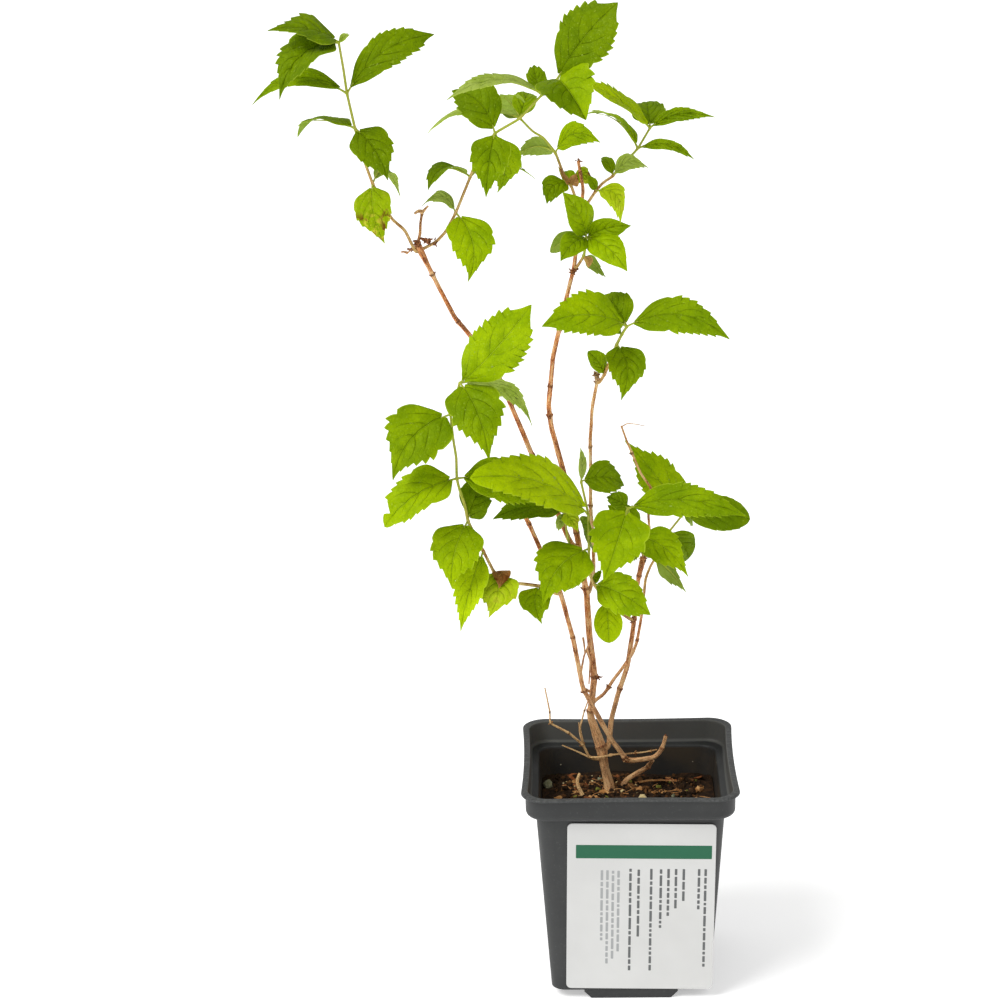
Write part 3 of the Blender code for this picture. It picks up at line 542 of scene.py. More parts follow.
@dataclass
class Batch:
    """Surfaces gathered into one piece.

    Its rows hold points with their grain places, ages and knots, and its blocks hold faces with their UV and
    finish numbers. The count is that of the points so far.
    """

    name: str
    rows: list = field(default_factory=list)
    blocks: list = field(default_factory=list)
    count: int = 0

    def add(self, points: Array, blocks: list, grain: Array | None = None, age: Array | float = 0.0,
            knot: Array | float = 0.0) -> None:
        """Add points and blocks of faces.

        Args:
            points: Places in millimetres, one row each.
            blocks: Face corners, numbered from this surface's first point, their UV, and the number of
                the finish, one for the block or one for each face.
            grain: Place of each point in the finish's pattern; the point itself when left out.
            age: 0 for fresh growth to 1 for old wood, one value or one for each point.
            knot: 0 for plain bark to 1 for the dark of buds and scars, likewise.
        """
        points = points.reshape(-1, 3)
        total = len(points)
        self.blocks += [((faces + self.count).tolist(), uv.reshape(-1, 2), np.broadcast_to(slot, len(faces)))
                        for faces, uv, slot in blocks]
        self.rows.append((points, points if grain is None else grain, np.broadcast_to(age, total),
                          np.broadcast_to(knot, total)))
        self.count += total

    def tube(self, grid: Array, along: Array, slot: int = 0, age: Array | float = 0.0,
             knot: Array | float = 0.0) -> None:
        """Add a closed tube from its rings, with a fan of triangles over each end.

        Args:
            grid: Rings by sides by 3 numbers.
            along: Distance of each ring from the start.
            slot: Number of the finish.
            age: 0 for fresh growth to 1 for old wood, one value or one for each ring.
            knot: 0 for plain bark to 1 for the dark of buds and scars, likewise.
        """
        rings, sides = grid.shape[:2]
        turn = turns(sides)
        wide = np.linalg.norm(grid[:, 0] - grid.mean(axis=1), axis=-1)[:, None]
        grain = joined(wide * np.cos(turn), wide * np.sin(turn), along[:, None])
        points = np.concatenate((grid.reshape(-1, 3), [grid[0].mean(axis=0), grid[-1].mean(axis=0)]))
        grain = np.concatenate((grain.reshape(-1, 3), ((0.0, 0.0, along[0]), (0.0, 0.0, along[-1]))))
        told = [np.broadcast_to(np.asarray(value, float).reshape(-1, 1), (rings, sides)).reshape(-1)
                for value in (age, knot)]
        age, knot = (np.concatenate((value, (value[0], value[-1]))) for value in told)
        quads = grid_faces(rings, sides, True)
        place = quads % sides
        place[:, 1:3] = place[:, :1] + 1
        uv = np.stack((place / sides, (along[quads // sides] - along[0]) / UV_LENGTH), axis=-1)
        fan_uv = np.zeros((sides, 3, 2))
        first = np.arange(sides)
        after = (first + 1) % sides
        start = np.stack((np.full(sides, rings * sides), after, first), axis=-1)
        last = (rings - 1) * sides
        end = np.stack((np.full(sides, rings * sides + 1), last + first, last + after), axis=-1)
        self.add(points, [(quads, uv, slot), (start, fan_uv, slot), (end, fan_uv, slot)], grain, age, knot)

    def build(self, finishes: list, sharp: float = 40.0) -> Piece:
        """Make the piece's object.

        Args:
            finishes: Materials, in the order of the finish numbers.
            sharp: Angle in degrees past which an edge is shaded sharp.

        Returns:
            The new object, at the origin.
        """
        points, *told = (np.concatenate(column) for column in zip(*self.rows))
        faces, uvs, slots = zip(*self.blocks)
        piece = solid(self.name, points, [face for block in faces for face in block])
        mesh = piece.data
        layer = mesh.uv_layers.new(name="surface")
        layer.data.foreach_set("uv", np.concatenate(uvs).astype(np.float32).reshape(-1))
        mesh.polygons.foreach_set("material_index", np.concatenate(slots).astype(np.int32))
        kinds = (("grain", "FLOAT_VECTOR", "vector"), ("age", "FLOAT", "value"), ("knot", "FLOAT", "value"))
        for (name, kind, key), values in zip(kinds, told):
            layer = mesh.attributes.new(name, kind, "POINT")
            layer.data.foreach_set(key, values.astype(np.float32).reshape(-1))
        for finish in finishes:
            mesh.materials.append(finish)
        mesh.update()
        mesh.shade_smooth()
        mesh.set_sharp_from_angle(angle=math.radians(sharp))
        return piece


def settle(piece: Piece, slot: str, *nodes: str) -> None:
    """Seat a finished piece on the part's body and log it.

    Args:
        piece: The piece.
        slot: Name of the record's material slot; not used.
        nodes: Solids that the piece stands for.
    """
    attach(piece, BODY)
    if nodes:
        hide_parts(*nodes)
    faces = len(piece.data.polygons)
    LOG.info("%s: %d faces, stands for %s", piece.name, faces, ", ".join(nodes) or "no solid")


class Graph:
    """One Principled material and short ways to add nodes to it."""

    def __init__(self, name: str, **values: Any) -> None:
        """Start a material.

        Args:
            name: Name of the material.
            values: Plain settings of the shader, with underscores for the blanks of a socket's name.
        """
        self.material = bpy.data.materials.new(name)
        self.material.use_nodes = True
        self.tree = self.material.node_tree
        self.shader = self.tree.nodes["Principled BSDF"]
        for key, value in values.items():
            self.shader.inputs[key.replace("_", " ")].default_value = value

    def node(self, kind: str, inputs: dict | None = None, **settings: Any) -> bpy.types.Node:
        """Add a node, set its options and fill its inputs with values or links.

        Args:
            kind: Type of the node, without the prefix ShaderNode.
            inputs: Values or output sockets by the input's name or number.
            settings: Options of the node.

        Returns:
            The new node.
        """
        made = self.tree.nodes.new("ShaderNode" + kind)
        for key, value in settings.items():
            setattr(made, key, value)
        for key, value in (inputs or {}).items():
            if isinstance(value, Socket):
                self.tree.links.new(value, made.inputs[key])
            else:
                made.inputs[key].default_value = value
        return made

    def math(self, operation: str, first: Any, second: Any = 0.0, third: Any = 0.0) -> Socket:
        """Result of one Math node."""
        return self.node("Math", {0: first, 1: second, 2: third}, operation=operation).outputs[0]

    def times(self, first: Any, second: Any) -> Socket:
        """Product of two values."""
        return self.math("MULTIPLY", first, second)

    def plus(self, first: Any, second: Any) -> Socket:
        """Sum of two values."""
        return self.math("ADD", first, second)

    def parts(self, vector: Any) -> Any:
        """The three numbers of a vector or colour, as sockets."""
        return self.node("SeparateXYZ", {0: vector}).outputs

    def ramp(self, value: Any, low: float, high: float, start: float = 0.0, end: float = 1.0) -> Socket:
        """Value carried smoothly from the range low..high to start..end."""
        inputs = {0: value, 1: low, 2: high, 3: start, 4: end}
        return self.node("MapRange", inputs, interpolation_type="SMOOTHSTEP").outputs[0]

    def mix(self, share: Any, first: Any, second: Any) -> Socket:
        """Colour blended from first to second by share."""
        return self.node("Mix", {0: share, 6: first, 7: second}, data_type="RGBA").outputs[2]

    def layers(self, colour: Any, *rows: tuple) -> Any:
        """Colour blended in turn with each row's tone, by its value carried from low..high to start..end."""
        for value, low, high, start, end, tone in rows:
            colour = self.mix(self.ramp(value, low, high, start, end), colour, tone)
        return colour

    def attribute(self, name: str, output: str) -> Socket:
        """Output of a mesh attribute."""
        return self.node("Attribute", attribute_name=name).outputs[output]

    def place(self) -> Socket:
        """Object coordinates, in metres."""
        return self.node("TexCoord").outputs["Object"]

    def noise(self, place: Any, scale: float, detail: float = 3.0, roughness: float = 0.55) -> Socket:
        """Noise between 0 and 1."""
        inputs = {"Vector": place, "Scale": scale, "Detail": detail, "Roughness": roughness}
        return self.node("TexNoise", inputs).outputs[0]

    def stretched(self, place: Any, *scale: float) -> Socket:
        """Coordinates scaled along each axis."""
        return self.node("Mapping", {"Vector": place, "Scale": scale}).outputs[0]

    def bump(self, height: Any, depth: float, strength: float = 1.0) -> None:
        """Give the shader a relief of a depth in metres."""
        made = self.node("Bump", {"Height": height, "Distance": depth, "Strength": strength})
        self.tree.links.new(made.outputs[0], self.shader.inputs["Normal"])

    def colour(self, value: Any) -> None:
        """Link the shader's colour."""
        self.tree.links.new(value, self.shader.inputs["Base Color"])

    def rough(self, value: Any) -> None:
        """Link the shader's roughness."""
        self.tree.links.new(value, self.shader.inputs["Roughness"])


VEIN_FIRST = -0.02
VEIN_STEP = 0.21
VEIN_ARCH = 0.5
VEIN_BOW = 1.45
RIB_GLOW = srgb(192, 214, 60)
EDGE_GLOW = srgb(192, 212, 60)
# Pale green of fine flecks on the leaves: painted glints, tiny highlights.
PAINTED_GLINT = srgb(192, 212, 84)
YELLOW_SPOT = srgb(206, 204, 60)
SCORCH = srgb(104, 58, 16)
SCAR_BROWN = srgb(58, 34, 22)
LIME_DOT = srgb(190, 182, 160)


@dataclass(frozen=True)
class LeafFinish:
    """Leaf: soft patches of two greens, sunk veins in dark bands that are partly their own green and partly
    painted shade, a bulge between them, a fine net, pale flecks that are painted glints, and at times scorch.
    """

    name: str
    base: tuple
    shade: tuple
    vein: tuple
    spots: float = 0.0
    burnt: float = 0.0
    relief: float = 0.0005
    # Strength of the dark vein bands: partly the veins' own green, partly painted shade in their grooves.
    line: float = 0.25
    glow: float = 0.36
    patch_scale: float = 75.0
    wander_scale: float = 160.0
    break_scale: float = 110.0
    net_scale: float = 560.0
    fine_scale: float = 420.0
    # Scale of the noise of the painted glints.
    painted_glint_scale: float = 1300.0
    spot_scale: float = 520.0
    rust_scale: float = 260.0

    def material(self) -> Material:
        """Build the material from the leaf's own UV: along the blade and across it."""
        graph = Graph(self.name, Roughness=0.5, Specular_IOR_Level=0.04)
        share, side, _ = graph.parts(graph.node("UVMap", uv_map="surface").outputs[0])
        across = graph.math("ABSOLUTE", graph.math("MULTIPLY_ADD", side, 2.0, -1.0))
        place = graph.place()
        cloud = graph.noise(place, self.patch_scale)
        bow = graph.times(graph.math("POWER", across, VEIN_BOW), -VEIN_ARCH)
        wander = graph.math("MULTIPLY_ADD", graph.noise(place, self.wander_scale, 2.0), 0.05, -0.025)
        along = graph.plus(graph.plus(graph.math("SUBTRACT", share, VEIN_FIRST), bow), wander)
        beat = graph.math("PINGPONG", graph.math("DIVIDE", along, VEIN_STEP), 0.5)
        fade = graph.times(graph.ramp(along, -0.02, 0.0), graph.ramp(across, 0.4, 0.9, 1.0, 0.0))
        fade = graph.times(fade, graph.ramp(share, 0.55, 0.8, 1.0, 0.0))
        fade = graph.times(fade, graph.ramp(graph.noise(place, self.break_scale, 2.0), 0.35, 0.6, 0.25, 1.0))
        # Dark bands along the veins: partly the veins' own darker green, partly painted shade in their sunken
        # grooves; a pale core runs inside them.
        beside = graph.times(graph.ramp(beat, 0.0, 0.048, 1.0, 0.0), fade)
        veins = graph.math("MAXIMUM", beside, graph.ramp(across, 0.01, 0.042, 1.0, 0.0))
        core = graph.times(graph.ramp(beat, 0.008, 0.026, 1.0, 0.0), fade)
        core = graph.math("MAXIMUM", graph.times(core, 0.7), graph.ramp(across, 0.006, 0.018, 1.0, 0.0))
        net = graph.node("TexVoronoi", {"Vector": place, "Scale": self.net_scale}, feature="DISTANCE_TO_EDGE")
        cells = graph.ramp(net.outputs[0], 0.0, 0.16)
        fine = graph.noise(place, self.fine_scale, 3.0, 0.6)
        colour = graph.mix(graph.ramp(cloud, 0.36, 0.66), self.base, self.shade)
        colour = graph.mix(graph.ramp(fine, 0.35, 0.7, 0.0, 0.22), colour, self.vein)
        colour = graph.mix(graph.times(graph.math("SUBTRACT", 1.0, cells), 0.1), colour, self.vein)
        # Dark vein bands: vein green and painted groove shade.
        colour = graph.mix(graph.times(veins, self.line), colour, self.vein)
        colour = graph.mix(graph.times(core, self.glow), colour, RIB_GLOW)
        # Fine pale flecks: painted glints, tiny highlights on the blade.
        painted_glint_noise = graph.noise(place, self.painted_glint_scale, 2.0, 0.6)
        colour = graph.layers(colour, (across, 0.95, 0.985, 0.0, 0.4, EDGE_GLOW),
                              (painted_glint_noise, 0.62, 0.72, 0.0, 0.3, PAINTED_GLINT))
        if self.spots > 0.0:
            speck = graph.noise(place, self.spot_scale, 3.0, 0.6)
            low = graph.ramp(share, 0.3, 0.6, 0.25, 1.0)
            speck = graph.times(graph.ramp(speck, 0.5, 0.62, 0.0, self.spots), low)
            colour = graph.mix(speck, colour, YELLOW_SPOT)
        if self.burnt > 0.0:
            rust = graph.noise(place, self.rust_scale, 4.0, 0.62)
            low = graph.times(graph.ramp(share, 0.28, 0.5), graph.ramp(across, 0.2, 0.75, 0.3, 1.0))
            rust = graph.times(graph.ramp(rust, 0.53, 0.6, 0.0, self.burnt), low)
            colour = graph.mix(rust, colour, SCORCH)
        graph.colour(colour)
        height = graph.plus(graph.times(veins, -0.6), graph.times(cells, 0.18))
        height = graph.plus(height, graph.times(fine, 0.5))
        bulge = graph.times(graph.math("SQRT", graph.times(beat, 2.0)), fade)
        graph.bump(graph.plus(height, bulge), self.relief, 0.9)
        graph.rough(graph.ramp(cloud, 0.3, 0.7, 0.4, 0.56))
        return graph.material


@dataclass(frozen=True)
class BarkFinish:
    """Bark: streaks, bands and specks of browns, green on fresh growth, tan on old wood, dark at knots."""

    name: str
    dark: tuple
    middle: tuple
    light: tuple
    fresh: tuple
    old: tuple
    relief: float = 0.0007

    def material(self) -> Material:
        """Build the material from the pattern place that the tube carries."""
        graph = Graph(self.name, Roughness=0.66, Specular_IOR_Level=0.2)
        grain = graph.attribute("grain", "Vector")
        age = graph.attribute("age", "Fac")
        knot = graph.attribute("knot", "Fac")
        streak = graph.noise(graph.stretched(grain, 2.4, 2.4, 0.3), 1.0, 4.0, 0.65)
        patch = graph.noise(graph.stretched(grain, 0.7, 0.7, 0.12), 1.0)
        speck = graph.noise(graph.stretched(grain, 3.2, 3.2, 2.4), 1.0, 3.0, 0.6)
        band = graph.noise(graph.stretched(grain, 0.85, 0.85, 0.16), 1.0)
        soft = graph.noise(graph.stretched(grain, 0.8, 0.8, 0.25), 1.0, 2.0)
        rim = graph.math("MULTIPLY_ADD", graph.noise(grain, 2.2), 0.9, -0.35)
        wood = graph.mix(graph.ramp(streak, 0.34, 0.56), self.middle, self.old)
        young = graph.mix(graph.ramp(soft, 0.35, 0.7, 0.0, 0.4), self.fresh, self.light)
        scar = graph.mix(graph.ramp(speck, 0.5, 0.62), SCAR_BROWN, self.middle)
        graph.colour(graph.layers(
            self.dark,
            (streak, 0.3, 0.52, 0.0, 1.0, self.middle), (patch, 0.42, 0.66, 0.0, 0.7, self.light),
            (age, 0.55, 1.0, 0.0, 0.8, wood), (band, 0.38, 0.5, 0.85, 0.0, self.dark),
            (band, 0.51, 0.6, 0.0, 0.9, self.old), (age, 0.8, 1.0, 0.0, 0.3, self.old),
            (speck, 0.52, 0.62, 0.0, 0.75, self.old), (speck, 0.34, 0.45, 0.7, 0.0, self.dark),
            (age, 0.15, 0.5, 1.0, 0.0, young), (graph.plus(knot, rim), 0.4, 0.85, 0.0, 0.78, scar)))
        graph.bump(graph.plus(graph.times(streak, 0.7), graph.times(speck, 0.7)), self.relief)
        return graph.material


@dataclass(frozen=True)
class PlasticFinish:
    """Moulded plastic of the pot: satin grey with draw marks, dusty patches, a lip top lightened by wear and
    a painted highlight, painted light on the inner wall above the ledge, and earth stains inside.
    """

    name: str
    base: tuple
    # Dusty grey, also used for the painted highlight on the lip top.
    dust_and_highlight: tuple
    # Painted light: grey for the inner wall above the ledge, lifted out of the shade inside the collar.
    painted_light: tuple
    earth: tuple
    relief: float = 0.00005

    def material(self) -> Material:
        """Build the material from object coordinates."""
        graph = Graph(self.name, Roughness=0.5, Specular_IOR_Level=0.32)
        lip, ledge = POT_HEIGHT * MM, LEDGE * MM
        place = graph.place()
        height = graph.parts(place)[2]
        cloud = graph.noise(place, 45.0, 4.0)
        fine = graph.noise(place, 900.0, 2.0)
        drawn = graph.noise(graph.stretched(place, 420.0, 420.0, 12.0), 1.0, 2.0)
        # Lip top lighter: partly wear and dust, partly a painted highlight.
        top = graph.ramp(height, lip - 0.0015, lip + 0.0001)
        wear_and_highlight = graph.times(top, graph.ramp(fine, 0.35, 0.7, 0.35, 1.0))
        colour = graph.mix(graph.ramp(cloud, 0.35, 0.75, 0.0, 0.14), self.base, self.dust_and_highlight)
        colour = graph.mix(graph.times(wear_and_highlight, 0.6), colour, self.dust_and_highlight)
        colour = graph.mix(graph.ramp(fine, 0.62, 0.75, 0.0, 0.16), colour, self.dust_and_highlight)
        normal = graph.node("NewGeometry").outputs["Normal"]
        flat = graph.stretched(place, 1.0, 1.0, 0.0)
        facing = graph.node("VectorMath", {0: flat, 1: normal}, operation="DOT_PRODUCT")
        inside = graph.ramp(facing.outputs["Value"], -0.02, -0.015, 1.0, 0.0)
        # Painted light: the inner walls above the ledge are lightened against the shade inside the collar.
        above = graph.times(inside, graph.ramp(height, ledge + 0.0003, ledge + 0.0018))
        colour = graph.mix(graph.times(above, 0.6), colour, self.painted_light)
        below = graph.times(inside, graph.ramp(height, ledge - 0.0007, ledge + 0.0003, 1.0, 0.0))
        colour = graph.mix(graph.times(below, graph.ramp(cloud, 0.35, 0.65, 0.1, 0.8)), colour, self.earth)
        dots = graph.node("TexVoronoi", {"Vector": place, "Scale": 420.0})
        near = graph.times(graph.ramp(dots.outputs[0], 0.1, 0.17, 1.0, 0.0),
                           graph.ramp(graph.parts(dots.outputs["Color"])[0], 0.9, 0.91))
        colour = graph.mix(graph.times(near, below), colour, LIME_DOT)
        graph.colour(colour)
        graph.rough(graph.ramp(cloud, 0.3, 0.7, 0.44, 0.6))
        graph.bump(graph.plus(graph.times(fine, 0.5), graph.times(drawn, 0.6)), self.relief, 0.5)
        return graph.material


@dataclass(frozen=True)
class EarthFinish:
    """Potting mix: dark and light browns in patches, with fine crumbs in relief."""

    name: str
    dark: tuple
    light: tuple
    scale: float = 320.0
    depth: float = 0.0006

    def material(self) -> Material:
        """Build the material from object coordinates."""
        graph = Graph(self.name, Roughness=0.93, Specular_IOR_Level=0.2)
        place = graph.place()
        coarse = graph.noise(place, self.scale, 4.0, 0.65)
        fine = graph.noise(place, self.scale * 4.0, 3.0, 0.6)
        graph.colour(graph.mix(graph.ramp(coarse, 0.42, 0.72), self.dark, self.light))
        graph.bump(graph.plus(coarse, graph.times(fine, 0.5)), self.depth, 0.9)
        return graph.material


@dataclass(frozen=True)
class PaperFinish:
    """Coated label paper or print: near flat colour with a faint tooth and a few dirt specks."""

    name: str
    base: tuple
    dirt: tuple
    specks: float = 0.6
    relief: float = 0.00001

    def material(self) -> Material:
        """Build the material from object coordinates."""
        graph = Graph(self.name, Roughness=0.42, Specular_IOR_Level=0.4)
        place = graph.place()
        cloud = graph.noise(place, 30.0)
        speck = graph.node("TexVoronoi", {"Vector": place, "Scale": 130.0})
        near = graph.ramp(speck.outputs[0], 0.03, 0.06, 1.0, 0.0)
        some = graph.ramp(graph.parts(speck.outputs["Color"])[0], 0.86, 0.88)
        colour = graph.mix(graph.ramp(cloud, 0.35, 0.7, 0.0, 0.07), self.base, self.dirt)
        dots = graph.times(graph.times(near, some), self.specks)
        graph.colour(graph.mix(dots, colour, self.dirt))
        graph.bump(graph.noise(place, 2200.0, 2.0), self.relief, 0.4)
        return graph.material


FOLIAGE = {
    Tone.BRIGHT: LeafFinish("leaf bright", srgb(160, 188, 1), srgb(136, 166, 0), srgb(104, 140, 0),
                            line=0.28),
    Tone.MIDDLE: LeafFinish("leaf middle", srgb(138, 166, 0), srgb(115, 144, 0), srgb(84, 115, 0),
                            glow=0.14),
    Tone.DARK: LeafFinish("leaf dark", srgb(119, 146, 0), srgb(99, 127, 0), srgb(72, 100, 0), glow=0.08),
    Tone.PALE: LeafFinish("leaf pale", srgb(164, 184, 78), srgb(140, 166, 40), srgb(182, 200, 112)),
    Tone.YELLOW: LeafFinish("leaf yellow", srgb(184, 208, 30), srgb(176, 200, 14), srgb(150, 178, 8),
                            spots=0.4, burnt=0.25),
    Tone.SPOTTED: LeafFinish("leaf spotted", srgb(146, 174, 4), srgb(160, 186, 10), srgb(112, 138, 4),
                             spots=0.9, burnt=0.95),
    Tone.LIGHT: LeafFinish("leaf light", srgb(182, 208, 4), srgb(164, 192, 2), srgb(128, 160, 1), glow=0.5),
    Tone.WITHERED: LeafFinish("leaf withered", srgb(216, 170, 104), srgb(150, 92, 40), srgb(100, 56, 22),
                              burnt=0.9, glow=0.1),
}
UNDERSIDE = LeafFinish("leaf underside", srgb(146, 170, 60), srgb(126, 154, 34), srgb(176, 196, 104),
                       relief=0.0003)
TONE_ORDER = list(Tone)
BARKS = {
    Bark.YOUNG: BarkFinish("young bark", srgb(120, 52, 22), srgb(222, 124, 62), srgb(255, 180, 112),
                           srgb(160, 160, 50), srgb(255, 208, 150)),
    Bark.PALE: BarkFinish("pale bark", srgb(172, 102, 46), srgb(236, 172, 100), srgb(255, 210, 150),
                          srgb(190, 184, 90), srgb(255, 232, 182)),
    Bark.DRY: BarkFinish("dry twig", srgb(120, 64, 26), srgb(206, 136, 70), srgb(240, 186, 114),
                         srgb(196, 146, 80), srgb(255, 214, 152)),
}
GREEN_TWIG = BarkFinish("green twig", srgb(150, 92, 40), srgb(200, 146, 78), srgb(226, 204, 120),
                        srgb(176, 192, 58), srgb(240, 206, 136))
EARTHS = {
    "earth": EarthFinish("potting mix", srgb(38, 25, 14), srgb(74, 50, 29)),
    "crumb": EarthFinish("brown crumb", srgb(84, 54, 28), srgb(140, 98, 56)),
    "chip": EarthFinish("bark chip", srgb(170, 118, 66), srgb(226, 178, 118), 500.0, 0.0002),
    "rust": EarthFinish("red chip", srgb(118, 64, 32), srgb(172, 108, 62), 500.0, 0.0002),
    "grit": EarthFinish("pale grit", srgb(206, 184, 130), srgb(246, 232, 190), 700.0, 0.0001),
    "moss": EarthFinish("moss crumb", srgb(106, 108, 40), srgb(156, 152, 72), 900.0, 0.0003),
    "stone": EarthFinish("grey pebble", srgb(120, 122, 96), srgb(178, 176, 144), 400.0, 0.0003),
    "thread": EarthFinish("root thread", srgb(176, 122, 74), srgb(232, 188, 132), 400.0, 0.0001),
}
POT_PLASTIC = PlasticFinish("pot plastic", srgb(46, 47, 47), srgb(100, 101, 100), srgb(108, 108, 104),
                            srgb(70, 59, 44))
PAPERS = (
    PaperFinish("label paper", srgb(208, 208, 206), srgb(110, 106, 100)),
    PaperFinish("green print", srgb(8, 92, 60), srgb(40, 112, 84), 0.2),
    PaperFinish("grey print", srgb(92, 94, 94), srgb(140, 140, 140), 0.2),
    PaperFinish("faded print", srgb(158, 160, 160), srgb(180, 180, 180), 0.2),
)


class Route:
    """A smoothed line through a path's points, sampled evenly, with the frames of its cross sections."""

    def __init__(self, path: list, step: float, blur: float) -> None:
        """Sample the path and soften its corners by a bell-shaped running mean.

        Args:
            path: The points, in millimetres.
            step: Distance between samples.
            blur: Half width of the running mean.
        """
        points = np.asarray(path, float)
        lengths = np.concatenate(((0.0,), np.cumsum(np.linalg.norm(np.diff(points, axis=0), axis=1))))
        count = max(int(lengths[-1] / step) + 1, 6)
        self.along = np.linspace(0.0, lengths[-1], count)
        self.index = np.interp(self.along, lengths, np.arange(len(points)))
        line = np.stack([np.interp(self.along, lengths, points[:, axis]) for axis in range(3)], axis=1)
        spread = max(blur / (lengths[-1] / (count - 1)), 0.3)
        reach = min(int(3.0 * spread) + 1, count - 1)
        bell = np.exp(-0.5 * (np.arange(-reach, reach + 1) / spread) ** 2)
        before = 2.0 * line[0] - line[1:reach + 1][::-1]
        after = 2.0 * line[-1] - line[-reach - 1:-1][::-1]
        padded = np.concatenate((before, line, after))
        bell = bell / bell.sum()
        self.line = np.stack([np.convolve(padded[:, axis], bell, "valid") for axis in range(3)], axis=1)
        self.tangent = unit(np.gradient(self.line, axis=0))
        reference = np.linalg.eigh(self.tangent.T @ self.tangent)[1][:, 0]
        self.side = unit(reference - (self.tangent @ reference)[:, None] * self.tangent)
        self.other = np.cross(self.tangent, self.side)

    def rings(self, radii: Array, sides: int) -> Array:
        """Rings round the line.

        Args:
            radii: One radius for each sample, or one for each sample and side.
            sides: Points in a ring.

        Returns:
            Samples by sides by 3 numbers.
        """
        radii = radii if radii.ndim == 2 else radii[:, None]
        return rings_round(self.line, self.side, self.other, radii, sides)

    def at_height(self, height: float) -> int:
        """Number of the sample nearest to a height."""
        return int(np.argmin(np.abs(self.line[:, 2] - height)))


def path_radii(item: Limb | Shoot, path: list) -> list:
    """Radii along a path: plain taper, root flare above the soil and the knot of old buds.

    Args:
        item: The limb or shoot.
        path: Its full route.

    Returns:
        One radius for each point of the path.
    """
    last = len(path) - 1
    first, end = item.radii
    radii = []
    for index, point in enumerate(path):
        radius = first + (end - first) * index / last
        if getattr(item, "rooted", False):
            radius += ROOT_FLARE * first * math.exp(-(point[2] - SOIL_TOP) / ROOT_FLARE_HEIGHT)
        if getattr(item, "knot", ()) and item.knot[0] == index:
            radius += item.knot[1]
        radii.append(radius)
    return radii


def grown_path(item: Limb | Shoot, routes: dict) -> list:
    """Full route of a limb or shoot: a start inside its parent, a square step off it, then its own points.

    Args:
        item: The limb or shoot.
        routes: Path and radii of the limbs made so far, by name.

    Returns:
        The points of the route.
    """
    own = [np.array(point, float) for point in item.path]
    if not item.parent:
        return own
    path, radii = routes[item.parent]
    first = min(int(item.joint), len(path) - 2)
    share = item.joint - first
    centre = path[first] + (path[first + 1] - path[first]) * share
    surface = radii[first] + (radii[first + 1] - radii[first]) * share
    axis = unit(path[first + 1] - path[first])
    towards = own[0] - centre
    if item.joint >= len(path) - 1:
        out = axis
        start = centre + out * GAP
    else:
        out = unit(towards - (towards @ axis) * axis)
        start = centre + out * (surface + GAP)
    return [centre - 0.5 * surface * out, start + out * (STUB_RADII * item.radii[0]), *own]


